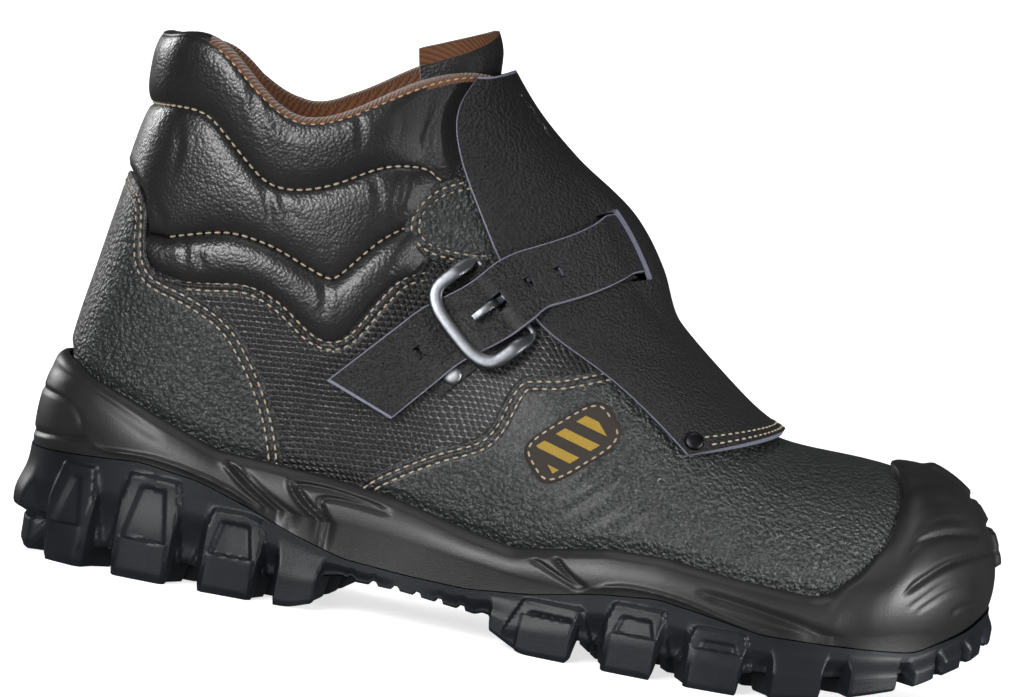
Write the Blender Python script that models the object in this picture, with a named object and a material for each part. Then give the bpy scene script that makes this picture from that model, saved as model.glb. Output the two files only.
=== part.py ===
"""A welding shoe for the right foot, built from one last.

The toe points to +X, the lateral side faces -Y and the sole stands on z = 0.
Every size below is in millimetres and becomes metres when a mesh is made.
"""

import bmesh
import bpy
import numpy as np

MM = 0.001

# Driving sizes
SHOE_LENGTH = 310.0
BALL_HALF = 50.0
COLLAR_HEIGHT = 168.0
LEATHER = 2.4
COLLAR_PAD = 6.0
GAP = 0.35

# The last, one row for each station from the heel to the toe.
# along, top_along: percent of SHOE_LENGTH. lateral, medial, ridge, half_gap, out: percent of BALL_HALF.
# top_height, up, down: percent of COLLAR_HEIGHT. out_low and up steer the foot of a wall,
# out_high and down steer its top.
LAST_COLUMNS = ("along", "lateral", "medial", "top_along", "ridge", "half_gap", "top_height",
                "out_low", "up", "out_high", "down")
LAST = {
    "heel_back": (2.9, 0, 0, 6.4, 0, 0, 99.5, 12, 27, -6, 34),
    "heel_turn": (4.8, -41, 41, 7.8, 0, 44, 99.6, 12, 27, -12, 32),
    "heel_side": (12.6, -66, 64, 13.4, 0, 72, 98.6, 10, 25, -14, 29),
    "ankle": (22.3, -70, 66, 22.0, 0, 77, 88.6, 8, 24, -8, 24),
    "ankle_front": (32.0, -72, 64, 32.0, 0, 64, 97.2, 8, 25, 4, 26),
    "facing_top": (41.0, -75, 62, 41.6, 0, 27, 101.5, 8, 26, 24, 21),
    "facing_mid": (49.5, -84, 66, 50.0, 0, 23, 87.0, 10, 24, 32, 15),
    "instep": (58.4, -94, 76, 58.6, 0, 20, 70.0, 12, 20, 44, 9.5),
    "throat": (68.4, -100, 90, 69.0, 0, 10, 51.5, 12, 17, 60, 4),
    "vamp": (76.1, -99, 96, 75.8, 1, 0, 44.6, 12, 15.5, 60, 1),
    "cap_back": (84.5, -88, 95, 83.0, 4, 0, 43.8, 12, 15.5, 56, 0.5),
    "cap_side": (91.4, -62, 80, 89.0, 8, 0, 42.6, 12, 14, 40, 1.5),
    "toe_side": (95.0, -28, 56, 92.6, 13, 0, 39.6, 12, 12, 24, 3.5),
    "toe_tip": (96.4, 16, 16, 94.5, 16, 0, 36.5, 10, 9, 12, 5),
}

# Heights along the shoe, each row at a distance from the back of the heel.
HEIGHT_COLUMNS = ("x", "floor", "parting", "core", "ground", "base")
HEIGHTS = (
    (0, 32.0, 32.0, 22.0, 1.5, 8.5),
    (14, 31.8, 33.0, 22.0, 0.0, 7.0),
    (40, 31.0, 36.0, 22.0, 0.0, 7.0),
    (58, 30.2, 33.5, 22.0, 0.0, 7.0),
    (75, 29.4, 28.0, 21.0, 0.0, 7.0),
    (92, 28.2, 22.0, 19.5, 0.0, 8.5),
    (106, 27.4, 18.0, 18.5, 5.0, 12.5),
    (126, 25.8, 16.6, 17.5, 12.5, 12.5),
    (146, 23.8, 16.2, 16.0, 10.0, 10.5),
    (166, 22.0, 18.5, 13.5, 0.0, 7.5),
    (186, 20.9, 22.8, 13.0, 0.0, 7.0),
    (204, 20.5, 24.8, 13.0, 0.0, 7.0),
    (218, 20.5, 22.8, 13.0, 0.0, 7.0),
    (236, 20.8, 19.6, 13.0, 0.0, 7.0),
    (258, 22.4, 19.8, 14.0, 3.0, 9.0),
    (280, 25.0, 20.8, 16.5, 10.0, 13.5),
    (292, 27.0, 28.0, 20.0, 17.0, 19.0),
    (300, 28.5, 37.0, 23.0, 25.0, 27.0),
)

# The midsole's upper rim: its height and how thick the wall is at the parting line and at the rim.
RIM_COLUMNS = ("x", "rim", "thick_low", "thick_rim")
RIM = (
    (9, 63.0, 7.0, 3.0),
    (18, 58.5, 6.5, 3.0),
    (36, 52.5, 6.5, 2.8),
    (48, 48.0, 6.5, 2.6),
    (62, 43.5, 6.5, 2.6),
    (98, 41.5, 6.5, 2.6),
    (120, 38.5, 6.5, 2.6),
    (143, 33.5, 6.5, 2.6),
    (158, 31.0, 6.2, 2.6),
    (170, 33.2, 6.0, 2.6),
    (186, 36.3, 6.0, 2.6),
    (204, 37.0, 6.0, 2.6),
    (226, 34.5, 6.0, 2.6),
    (250, 33.2, 6.0, 2.8),
    (258, 36.0, 6.5, 3.0),
    (270, 90.0, 7.5, 4.4),
    (281, 90.0, 8.0, 4.6),
    (299, 90.0, 9.0, 6.5),
)

# The back edge of the toe guard in side view.
GUARD_COLUMNS = ("z", "x")
GUARD = ((36.0, 256.0), (42.0, 263.5), (52.0, 270.8), (60.0, 273.2), (67.0, 273.6), (72.0, 270.0),
         (90.0, 266.0))
GUARD_START = 256.0

# Lugs around the edge, from one distance along the feather line to another.
LUGS = {
    "heel_back": (8.0, 12.5),
    "heel_1": (18.0, 30.0),
    "heel_2": (37.0, 54.0),
    "heel_3": (62.5, 81.0),
    "heel_4": (86.5, 100.0),
    "fore_1": (155.0, 181.0),
    "fore_2": (190.0, 206.5),
    "fore_3": (215.0, 232.0),
    "fore_4": (240.5, 256.0),
    "fore_5": (263.5, 275.0),
    "fore_6": (280.0, 287.0),
    "toe": (292.5, 298.6),
}
ARCH_COLUMNS = (109.0, 121.0, 133.0, 145.0)
EXTRA_COLUMNS = (45.5, 71.7, 93.0, 168.0, 266.5, 269.5, 271.6, 273.2, 274.2)
LUG_FLARE = 2.0
WALL_ROWS = (0.0, 0.07, 0.15, 0.25, 0.36, 0.48, 0.61, 0.73, 0.84, 0.93, 1.0)

# The tongue, one row for each section from the throat to its top.
# depth_x and depth_z lead from its crest to its side edge.
TONGUE_COLUMNS = ("x", "z", "half_width", "depth_x", "depth_z", "thick")
TONGUE = (
    (205.0, 92.0, 15.0, -3.0, -4.0, 4.0),
    (192.0, 103.5, 19.0, -4.5, -7.0, 4.0),
    (177.0, 115.5, 21.0, -6.5, -9.0, 4.5),
    (161.0, 131.0, 22.0, -9.0, -10.0, 5.0),
    (146.5, 146.0, 22.0, -12.0, -10.0, 5.5),
    (133.0, 160.0, 20.5, -15.0, -9.0, 6.0),
    (126.0, 171.5, 19.0, -17.0, -9.0, 6.0),
    (124.0, 182.0, 18.5, -18.0, -8.5, 6.0),
)

# The flap, one row for each section from its front end to its top:
# a point on its ridge and a point on its side edge, both in side view.
FLAP_COLUMNS = ("ridge_x", "ridge_z", "edge_x", "edge_z")
FLAP = (
    (234.5, 77.5, 204.5, 67.5),
    (225.0, 82.0, 191.0, 77.5),
    (213.0, 90.5, 174.0, 88.0),
    (201.5, 99.5, 155.0, 97.5),
    (192.0, 108.5, 146.0, 106.0),
    (184.5, 119.5, 137.2, 115.6),
    (177.0, 130.0, 129.5, 127.0),
    (167.5, 141.0, 121.5, 140.0),
    (154.0, 152.5, 116.8, 150.0),
    (143.0, 163.0, 115.2, 160.0),
    (134.0, 173.5, 119.5, 170.0),
)
FLAP_THICK = 2.0
FLAP_STANDOFF = (1.6, 4.6)
FLAP_ROWS = (0, 0.5, 1, 2, 3, 4, 4.7, 5.3, 5.9, 6.5, 7.2, 8, 9, 10)
FLAP_ANGLES = (90, 76, 62, 48, 34, 22, 8, -8, -24, -40, -56, -72, -90)
SLIT_ROWS = (4.7, 6.5)
SLIT_ANGLES = (22, 34)
SLIT_LIFT = 3.5

# The strap: its direction in side view, and places measured along that direction and across it.
STRAP_UP = 48.2
STRAP_WIDTH = 21.5
STRAP_THICK = 2.0
STRAP_CENTRE = 35.4
STRAP_FREE_CENTRE = 31.2
STRAP_HOLES = (141.7, 170.4)
HOLE_SIZE = (3.6, 4.6)
STRAP_FREE = ((118.0, 3.4), (126.0, 3.2), (134.0, 3.6), (140.0, 4.2), (143.5, 4.4), (150.0, 4.4),
              (157.0, 4.4), (164.0, 5.9), (168.6, 7.5), (172.2, 7.8), (176.5, 6.9))
STRAP_OVER = (84, 67, 50, 36)
STRAP_UNDER = (16, 2, -14, -34, -58, -82)
STRAP_ANCHOR = ((172.0, 1.8), (162.0, 1.7), (152.0, 1.7), (143.0, 1.7))

# The buckle, measured along and across the strap and out from the leather.
HINGE_ALONG = 172.6
BAR_RADIUS = 1.0
HINGE_HEIGHT = 3.4
BAR_HEIGHT = 8.0
FRAME_REACH = 20.0
FRAME_HALF = 15.0
FRAME_BAR = (1.9, 1.3)
PRONG_REACH = 14.0
PRONG_BAR = (1.3, 0.6)
TAB_THICK = 1.2
TAB_HALF = 12.2
TAB_CENTRE = 34.0
TAB_ROWS = (138.0, 145.0, 152.0, 160.0, 167.0)
TAB_RIVETS = (145.0, 9.2)
RIVET_RADIUS = 3.0

COLOURS = {
    "outsole": (0.030, 0.036, 0.050),
    "midsole": (0.042, 0.040, 0.040),
    "insole": (0.120, 0.060, 0.030),
    "leather": (0.018, 0.018, 0.019),
    "flap": (0.045, 0.046, 0.050),
    "steel": (0.420, 0.440, 0.470),
    "rivet": (0.060, 0.062, 0.068),
}


def table(columns, rows):
    """Return the columns of a table by name, each as an array."""
    values = np.array(list(rows), float)
    return {name: values[:, place] for place, name in enumerate(columns)}


def spline(rows, at, closed=False):
    """Return points at the parameters `at` of the cubic curve that passes row k at parameter k."""
    rows = np.asarray(rows, float)
    flat = rows.reshape(len(rows), -1)
    count = len(flat)
    system = 4.0 * np.eye(count) + np.roll(np.eye(count), 1, 0) + np.roll(np.eye(count), -1, 0)
    right = 6.0 * (np.roll(flat, 1, 0) - 2.0 * flat + np.roll(flat, -1, 0))
    if not closed:
        system[0] = np.eye(count)[0]
        system[-1] = np.eye(count)[-1]
        right[0] = 0.0
        right[-1] = 0.0
    bend = np.linalg.solve(system, right)
    at = np.asarray(at, float)
    low = np.floor(at).astype(int)
    if closed:
        low = low % count
        high = (low + 1) % count
    else:
        low = np.clip(low, 0, count - 2)
        high = low + 1
    share = at - np.floor(at) if closed else at - low
    share = share.reshape(-1, 1)
    left = 1.0 - share
    value = left * flat[low] + share * flat[high]
    value += (left ** 3 - left) * bend[low] / 6.0 + (share ** 3 - share) * bend[high] / 6.0
    return value.reshape((len(at),) + rows.shape[1:])


def unit(vectors):
    """Return vectors at length one."""
    length = np.linalg.norm(vectors, axis=-1, keepdims=True)
    return vectors / np.maximum(length, 1e-9)


def ease(value, start, end):
    """Return a smooth step from 0 at start to 1 at end."""
    share = np.clip((np.asarray(value, float) - start) / (end - start), 0.0, 1.0)
    return share * share * (3.0 - 2.0 * share)


LAST_TABLE = table(LAST_COLUMNS, LAST.values())
HEIGHT_TABLE = table(HEIGHT_COLUMNS, HEIGHTS)
RIM_TABLE = table(RIM_COLUMNS, RIM)
STATIONS = len(LAST)
TOE = STATIONS - 1
RING = 2 * TOE
THROAT = list(LAST).index("vamp")


def height(name, x):
    """Return a named height at distances x from the back of the heel, eased between the rows."""
    fine = np.linspace(HEIGHT_TABLE["x"][0], HEIGHT_TABLE["x"][-1], 301)
    values = np.interp(fine, HEIGHT_TABLE["x"], HEIGHT_TABLE[name])
    kernel = np.hanning(11)[1:-1]
    padded = np.pad(values, 4, mode="edge")
    return np.interp(x, fine, np.convolve(padded, kernel / kernel.sum(), mode="valid"))


def ring_rows(values, mirrored):
    """Return a value for every place of the ring: heel, lateral side, toe, medial side."""
    return np.concatenate([values, np.asarray(mirrored)[TOE - 1:0:-1]])


def foot_and_top(ring):
    """Return the foot, its outward normal, the top and the two steering vectors of each wall."""
    last = LAST_TABLE
    station = np.where(ring <= TOE, ring, RING - ring)
    side = np.where(ring <= TOE, -1.0, 1.0)
    along = ring_rows(last["along"], last["along"]) * SHOE_LENGTH / 100.0
    across = ring_rows(last["lateral"], last["medial"]) * BALL_HALF / 100.0
    plan = np.stack([along, across], 1)
    foot = spline(plan, ring, True)
    slope = spline(plan, (ring + 0.02) % RING, True) - spline(plan, (ring - 0.02) % RING, True)
    normal = unit(np.stack([slope[:, 1], -slope[:, 0], np.zeros(len(ring))], 1))
    foot = np.column_stack([foot, height("floor", foot[:, 0])])
    steer = {}
    for name in ("top_along", "ridge", "top_height", "out_low", "up", "out_high", "down"):
        steer[name] = spline(ring_rows(last[name], last[name])[:, None], ring, True)[:, 0]
    half = np.interp(station, np.arange(STATIONS), last["half_gap"])
    soft = spline(ring_rows(last["half_gap"], last["half_gap"])[:, None], ring, True)[:, 0]
    half = np.where(station < THROAT - 2, soft, half) * BALL_HALF / 100.0
    half = np.where(station < 0.001, 0.0, half)
    top = np.stack([steer["top_along"] * SHOE_LENGTH / 100.0,
                    steer["ridge"] * BALL_HALF / 100.0 + side * half,
                    steer["top_height"] * COLLAR_HEIGHT / 100.0], 1)
    rise = np.array([0.0, 0.0, COLLAR_HEIGHT / 100.0])
    low = normal * (steer["out_low"] * BALL_HALF / 100.0)[:, None] + steer["up"][:, None] * rise
    high = normal * (steer["out_high"] * BALL_HALF / 100.0)[:, None] - steer["down"][:, None] * rise
    return foot, normal, top, low, high


def wall(ring, share):
    """Return points of the upper: a cubic wall from the feather line (share 0) to its top (share 1)."""
    ring = np.asarray(ring, float)
    foot, _, top, low, high = foot_and_top(ring)
    share = np.asarray(share, float)
    if share.ndim == 1:
        share = np.broadcast_to(share, (len(ring), len(share)))
    s = share[:, :, None]
    first = (foot + low)[:, None, :]
    second = (top + high)[:, None, :]
    return ((1 - s) ** 3 * foot[:, None, :] + 3 * s * (1 - s) ** 2 * first
            + 3 * s * s * (1 - s) * second + s ** 3 * top[:, None, :])


def wall_normal(ring, share):
    """Return the outward normals of the upper."""
    ring = np.asarray(ring, float)
    share = np.asarray(share, float)
    if share.ndim == 1:
        share = np.broadcast_to(share, (len(ring), len(share)))
    inside = np.clip(share, 0.002, 0.995)
    around = wall((ring + 0.03) % RING, inside) - wall((ring - 0.03) % RING, inside)
    upward = wall(ring, np.clip(inside + 0.004, 0, 1)) - wall(ring, inside - 0.002)
    normal = unit(np.cross(around, upward))
    mirror = (RING - ring) % RING
    around = wall((mirror + 0.03) % RING, inside) - wall((mirror - 0.03) % RING, inside)
    upward = wall(mirror, np.clip(inside + 0.004, 0, 1)) - wall(mirror, inside - 0.002)
    other = unit(np.cross(around, upward))
    on_ridge = (share > 0.999) & (np.minimum(ring, RING - ring) >= THROAT - 1e-6)[:, None]
    return np.where(on_ridge[:, :, None], unit(normal + other), normal)


def material(name, colour, roughness, metallic=0.0):
    """Make one plain material."""
    made = bpy.data.materials.new(name)
    made.use_nodes = True
    shader = made.node_tree.nodes["Principled BSDF"]
    shader.inputs["Base Color"].default_value = (*colour, 1.0)
    shader.inputs["Roughness"].default_value = roughness
    shader.inputs["Metallic"].default_value = metallic
    return made


def add_object(name, points, faces, colour, roughness=0.6, metallic=0.0):
    """Make an object from points in millimetres and faces, welded and facing outward."""
    mesh = bpy.data.meshes.new(name)
    mesh.from_pydata((np.asarray(points) * MM - OFFSET).tolist(), [], faces)
    work = bmesh.new()
    work.from_mesh(mesh)
    bmesh.ops.remove_doubles(work, verts=work.verts, dist=2e-6)
    loose = [vert for vert in work.verts if not vert.link_faces]
    bmesh.ops.delete(work, geom=loose, context="VERTS")
    bmesh.ops.triangulate(work, faces=work.faces, quad_method="FIXED")
    bmesh.ops.recalc_face_normals(work, faces=work.faces)
    work.to_mesh(mesh)
    work.free()
    made = bpy.data.objects.new(name, mesh)
    bpy.context.scene.collection.objects.link(made)
    mesh.materials.append(material(name + "_finish", COLOURS[colour], roughness, metallic))
    return made


def shell_faces(outer, inner, keep, closed):
    """Return the faces of a solid between two index grids, with walls along every open edge."""
    rows, columns = outer.shape
    faces = []
    edges = {}
    for row in range(rows if closed else rows - 1):
        after = (row + 1) % rows
        for column in range(columns - 1):
            if keep is not None and not keep[row, column]:
                continue
            corners = ((row, column), (after, column), (after, column + 1), (row, column + 1))
            for grid, turn in ((outer, 1), (inner, -1)):
                first, second, third, fourth = (int(grid[corner]) for corner in corners)
                for half in ((first, second, third), (first, third, fourth)):
                    if len(set(half)) == 3:
                        faces.append(half[::turn])
            for start, end in zip(corners, corners[1:] + corners[:1]):
                pair = (int(outer[start]), int(outer[end]))
                if pair[0] != pair[1]:
                    edges[pair] = (int(inner[start]), int(inner[end]))
    for (start, end), (inner_start, inner_end) in edges.items():
        if (end, start) not in edges:
            ring = []
            for corner in (end, start, inner_start, inner_end):
                if corner not in ring:
                    ring.append(corner)
            faces.append(ring)
    return faces


def shell(name, outer, inner, colour, keep=None, closed=False, joined=(), roughness=0.6):
    """Make a solid between two point grids.

    `joined` lists (rows, column): rows of the ring that meet their mirror row in that column.
    """
    rows, columns = outer.shape[:2]
    index = np.arange(rows * columns).reshape(rows, columns)
    outer = outer.copy()
    inner = inner.copy()
    for which, column in joined:
        for row in which:
            other = (rows - row) % rows
            for grid in (outer, inner):
                middle = (grid[row, column] + grid[other, column]) / 2.0
                grid[row, column] = middle
                grid[other, column] = middle
            index[max(row, other), column] = index[min(row, other), column]
    points = np.concatenate([outer.reshape(-1, 3), inner.reshape(-1, 3)])
    faces = shell_faces(index, index + rows * columns, keep, closed)
    return add_object(name, points, faces, colour, roughness)


def tube(path, across, outward, half_width, half_thick, closed=False, sides=8):
    """Return points and faces of a rounded bar along a path."""
    angles = np.arange(sides) * 2.0 * np.pi / sides + np.pi / sides
    section = np.stack([np.cos(angles), np.sin(angles)], 1)
    section = np.sign(section) * np.abs(section) ** 0.7
    rings = (path[:, None, :] + section[None, :, :1] * half_width * across[:, None, :]
             + section[None, :, 1:] * half_thick * outward[:, None, :])
    count = len(path)
    faces = []
    for row in range(count if closed else count - 1):
        after = (row + 1) % count
        for side in range(sides):
            beside = (side + 1) % sides
            faces.append((row * sides + side, row * sides + beside,
                          after * sides + beside, after * sides + side))
    if not closed:
        faces.append(tuple(range(sides)))
        faces.append(tuple(range((count - 1) * sides, count * sides)))
    return rings.reshape(-1, 3), faces


# Fine copies of the upper's two sides, used to seat things on it.
FINE_RING = np.linspace(0.25, TOE - 0.25, 380)
FINE_SHARE = np.linspace(0.0, 1.0, 240)
SIDE_POINTS = {}
SIDE_NORMALS = {}
for side_name, side_ring in (("lateral", FINE_RING), ("medial", RING - FINE_RING)):
    SIDE_POINTS[side_name] = wall(side_ring, FINE_SHARE).reshape(-1, 3)
    SIDE_NORMALS[side_name] = wall_normal(side_ring, FINE_SHARE).reshape(-1, 3)


def on_side(x, z, side="lateral"):
    """Return the point and normal of the upper's side that shows at (x, z) in side view."""
    points = SIDE_POINTS[side]
    near = np.argmin((points[:, 0] - x) ** 2 + (points[:, 2] - z) ** 2)
    point = points[near].copy()
    normal = SIDE_NORMALS[side][near]
    drift = np.array([x - point[0], 0.0, z - point[2]])
    if abs(normal[1]) > 0.3:
        drift[1] = -(normal[0] * drift[0] + normal[2] * drift[2]) / normal[1]
    return point + drift, normal


def clear_of(points, surface, normals, distance, reach):
    """Return points moved along the surface's normals until they stand clear of it by a distance."""
    shape = points.shape
    moved = points.reshape(-1, 3).copy()
    distance = np.broadcast_to(distance, shape[:-1]).ravel()
    for _ in range(4):
        for place in range(len(moved)):
            away = moved[place] - surface
            near = np.argmin(np.sum(away * away, 1))
            clear = float(np.dot(away[near], normals[near]))
            if clear < distance[place] and np.linalg.norm(away[near]) < reach:
                moved[place] += normals[near] * (distance[place] - clear)
    return moved.reshape(shape)


# Columns around the shoe: both edges of every lug, one in each gap and one in each wide lug.
station_fine = np.linspace(0.0, TOE, 1301)
along_fine = np.maximum.accumulate(foot_and_top(station_fine)[0][:, 0])


def station_at(x):
    """Return the station whose foot lies at the distance x from the back of the heel."""
    return float(np.interp(x, along_fine, station_fine))


column_station = [0.0]
column_lug = [1.0]
lug_rows = list(LUGS.values())
for place, (start, end) in enumerate(lug_rows):
    first_station = station_at(start)
    last_station = station_at(end)
    if place > 0:
        column_station.append(first_station)
        column_lug.append(1.0)
    for step_x in EXTRA_COLUMNS:
        if start < step_x < end:
            column_station.append(station_at(step_x))
            column_lug.append(1.0)
    column_station.append(last_station)
    column_lug.append(1.0)
    if place + 1 < len(lug_rows):
        following = station_at(lug_rows[place + 1][0])
        if following - last_station > 1.2:
            for arch_x in ARCH_COLUMNS:
                column_station.append(station_at(arch_x))
                column_lug.append(0.0)
        else:
            column_station.append((last_station + following) / 2.0)
            column_lug.append(0.0)
column_station.append(float(TOE))
column_lug.append(1.0)
half_station = np.array(column_station)
half_lug = np.array(column_lug)
ring = np.concatenate([half_station, RING - half_station[-2:0:-1]])
lug = np.concatenate([half_lug, half_lug[-2:0:-1]])
columns_total = len(ring)
half_count = len(half_station) - 1

foot, foot_normal, wall_top, _, _ = foot_and_top(ring)
foot_x = foot[:, 0]
part_z = height("parting", foot_x)
core_z = height("core", foot_x)
ground_z = height("ground", foot_x)
base_z = height("base", foot_x)
rim_z = np.interp(foot_x, RIM_TABLE["x"], RIM_TABLE["rim"])
thick_low = np.interp(foot_x, RIM_TABLE["x"], RIM_TABLE["thick_low"])
thick_rim = np.interp(foot_x, RIM_TABLE["x"], RIM_TABLE["thick_rim"])

# Where each wall crosses the rim and the parting line.
share_fine = np.linspace(0.0, 1.0, 401)
wall_fine = wall(ring, share_fine)
rim_share = np.ones(columns_total)
part_share = np.zeros(columns_total)
guard_table = table(GUARD_COLUMNS, GUARD)
for column in range(columns_total):
    climb = np.maximum.accumulate(wall_fine[column, :, 2])
    part_share[column] = np.interp(part_z[column], climb, share_fine)
    if foot_x[column] > GUARD_START:
        edge_x = np.interp(wall_fine[column, :, 2], guard_table["z"], guard_table["x"])
        above = wall_fine[column, :, 2] > part_z[column] + 8.0
        behind = np.flatnonzero((wall_fine[column, :, 0] < edge_x) & above)
        if len(behind):
            rim_share[column] = share_fine[behind[0]]
    else:
        rim_share[column] = np.interp(rim_z[column], climb, share_fine)
part_edge = wall(ring, part_share[:, None])[:, 0, :] + foot_normal * thick_low[:, None]
part_edge[:, 2] = part_z

zipped = [row for row in range(columns_total) if min(ring[row], RING - ring[row]) >= THROAT - 1e-6]
guarded = [row for row in range(columns_total) if rim_share[row] > 0.999]
every_row = [row for row in range(columns_total)]

# Everything is moved so that the middle of the sole lies over the origin.
OUTER = part_edge[:, :2] + foot_normal[:, :2] * LUG_FLARE * lug[:, None]
OFFSET = np.array([(OUTER[:, 0].min() + OUTER[:, 0].max()) / 2.0,
                   (OUTER[:, 1].min() + OUTER[:, 1].max()) / 2.0, 0.0]) * MM

for old in list(bpy.data.objects):
    bpy.data.objects.remove(old, do_unlink=True)


def spine(inset):
    """Return points toward the middle line of the sole, `inset` being the share from the middle."""
    middle_x = SHOE_LENGTH / 2.0 + (foot[:, 0] - SHOE_LENGTH / 2.0) * 0.80
    mirror = (columns_total - np.arange(columns_total)) % columns_total
    middle_y = (foot[:, 1] + foot[mirror, 1]) / 2.0
    middle = np.stack([middle_x, middle_y], 1)
    return middle + (foot[:, :2] - middle) * inset


def with_height(plan, z):
    """Return plan points at the heights z."""
    return np.column_stack([plan[:, :2], np.broadcast_to(z, len(plan))])


def beside(distance):
    """Return the feather line moved outward by a distance."""
    return foot[:, :2] + foot_normal[:, :2] * np.reshape(distance, (-1, 1))


# The face that the outsole and the midsole share.
share_in = (0.0, 0.30, 0.40, 0.52, 0.62)
joint = []
for inset in (0.0, 0.62, 0.62, 0.62, 0.62):
    plan = spine(inset)
    joint.append(with_height(plan, height("core", plan[:, 0])))
joint.append(with_height(beside(np.full(columns_total, -7.0)), core_z))
joint_low = np.minimum(core_z + 0.3 * (part_z - core_z), foot[:, 2] - 3.0)
joint_high = np.minimum(core_z + 0.7 * (part_z - core_z), foot[:, 2] + 1.5)
joint.append(with_height(beside(np.full(columns_total, -1.5)), joint_low))
joint.append(with_height(beside(thick_low * 0.35), joint_high))
joint.append(with_height(part_edge[:, :2] - foot_normal[:, :2] * 2.0, part_z))

# Outsole: lugs at the edge and bars across the middle where a column carries a lug.
down = np.array([0.0, 0.0, GAP + 0.1])
tread = np.where(lug > 0.5, ground_z, base_z)
bottom = []
for inset, bar in zip(share_in, (1.0, 1.0, 0.0, 0.0, 1.0)):
    plan = spine(inset)
    bar_z = height("base", plan[:, 0])
    low_z = np.minimum(height("ground", plan[:, 0]), bar_z)
    bottom.append(with_height(plan, np.where(lug * bar > 0.5, low_z, bar_z)))
flare = LUG_FLARE * lug
toe_curl = 3.0 * ease(foot_x, 284.0, 291.0) + 3.5 * ease(foot_x, 291.0, 298.6)
bottom.append(with_height(beside(thick_low * 0.2), tread - toe_curl))
bottom.append(with_height(part_edge[:, :2] + foot_normal[:, :2] * (flare - 1.6)[:, None], tread + 0.2 * lug))
shoulder_z = np.minimum(tread + 4.5, (tread + part_z) / 2.0)
bottom.append(with_height(part_edge[:, :2] + foot_normal[:, :2] * flare[:, None], shoulder_z))
toe_drop = 0.7 * ease(foot_x, 284.0, 296.0)
bottom.append(with_height(part_edge[:, :2] + foot_normal[:, :2] * 0.4, part_z - 1.0 - toe_drop))
outsole_outer = np.stack(bottom, 1)
outsole_inner = np.stack(joint, 1) - down
outsole_inner[:, 6:, :2] += foot_normal[:, None, :2] * 0.2
outsole_inner[:, 6:, 2] -= toe_drop[:, None]
shell("outsole", outsole_outer, outsole_inner, "outsole", None, True, [(every_row, 0)], 0.5)

# Midsole: the shared face, the outer wall up to the rim, and inside the floor and the upper's own wall.
outer_rows = list(joint)
outer_rows.append(part_edge)
for share in (0.25, 0.5, 0.75, 1.0):
    level = part_share + (rim_share - part_share) * share
    skin = wall(ring, level[:, None])[:, 0, :]
    facing = wall_normal(ring, level[:, None])[:, 0, :]
    thick = thick_low + (thick_rim - thick_low) * share
    row = skin + facing * thick[:, None]
    outer_rows.append(row)
floor_rows = []
for inset in (0.0, 0.7, 0.7):
    plan = spine(inset)
    floor_rows.append(with_height(plan, height("floor", plan[:, 0]) - GAP))
clipped = np.minimum(np.array(WALL_ROWS)[None, :], rim_share[:, None])
cup_gap = GAP + 1.6 * ease(foot_x, 252.0, 264.0) - 0.7 * ease(foot_x, 280.0, 292.0)
cup = wall(ring, clipped) + wall_normal(ring, clipped) * cup_gap[:, None, None]
cup[:, 0, 2] = foot[:, 2] - GAP
midsole_outer = np.stack(outer_rows, 1)
midsole_inner = np.concatenate([np.stack(floor_rows, 1), cup], 1)
shell("midsole", midsole_outer, midsole_inner, "midsole", None, True, [(every_row, 0), (guarded, -1)], 0.55)

# Upper: the walls, with the leather's thickness and the padding of the collar on the inside.
upper_outer = wall(ring, WALL_ROWS)
station = np.minimum(ring, RING - ring)
pad = COLLAR_PAD * ease(upper_outer[:, :, 2], 96.0, 126.0) * (1.0 - ease(station, 4.1, 5.0))[:, None]
edge_taper = 1.0 - 0.45 * ease(np.array(WALL_ROWS), 0.93, 1.0)[None, :]
upper_thick = LEATHER + pad * edge_taper
upper_inner = upper_outer - wall_normal(ring, WALL_ROWS) * upper_thick[:, :, None]
upper_inner[:, 0, 2] = upper_outer[:, 0, 2]
for row in (1, 3, 5):
    upper_inner[:, row] = upper_inner[:, row + 1]
shell("upper", upper_outer, upper_inner, "leather", None, True, [(zipped, -1)], 0.5)

# Insole: a plate on the midsole's floor inside the upper.
rise = np.array([0.0, 0.0, 1.0])
edge_in = beside(np.full(columns_total, -(LEATHER + 0.6)))
plate = [with_height(spine(0.0), height("floor", spine(0.0)[:, 0]))]
plate.append(with_height(edge_in, foot[:, 2]))
plate = np.stack(plate, 1)
shell("insole", plate, plate + rise * 4.0, "insole", None, True, [(every_row, 0)], 0.9)

# Tongue: an arched sheet under the facings.
tongue_rows = spline(np.array(TONGUE), np.linspace(0.0, len(TONGUE) - 1.0, 13))
tongue_turn = np.linspace(-1.0, 1.0, 9)
lean = 1.0 - np.sqrt(1.0 - (0.96 * np.abs(tongue_turn)) ** 2)
lean = lean / lean[-1]
tongue_outer = np.zeros((len(tongue_rows), len(tongue_turn), 3))
tongue_outer[:, :, 0] = tongue_rows[:, None, 0] + tongue_rows[:, None, 3] * lean
tongue_outer[:, :, 1] = tongue_rows[:, None, 2] * tongue_turn
tongue_outer[:, :, 2] = tongue_rows[:, None, 1] + tongue_rows[:, None, 4] * lean
inside_ring = np.linspace(4.0, 9.0, 90)
inside_share = np.linspace(0.55, 1.0, 50)
inside_station = inside_ring[:, None]
inside_points = []
inside_normals = []
for side_ring in (inside_ring, RING - inside_ring):
    skin = wall(side_ring, inside_share)
    facing = wall_normal(side_ring, inside_share)
    pad = COLLAR_PAD * ease(skin[:, :, 2], 96.0, 126.0) * (1.0 - ease(inside_station, 4.1, 5.0))
    inside_points.append((skin - facing * (LEATHER + pad)[:, :, None]).reshape(-1, 3))
    inside_normals.append(-facing.reshape(-1, 3))
inside_points = np.concatenate(inside_points)
inside_normals = np.concatenate(inside_normals)
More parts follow.
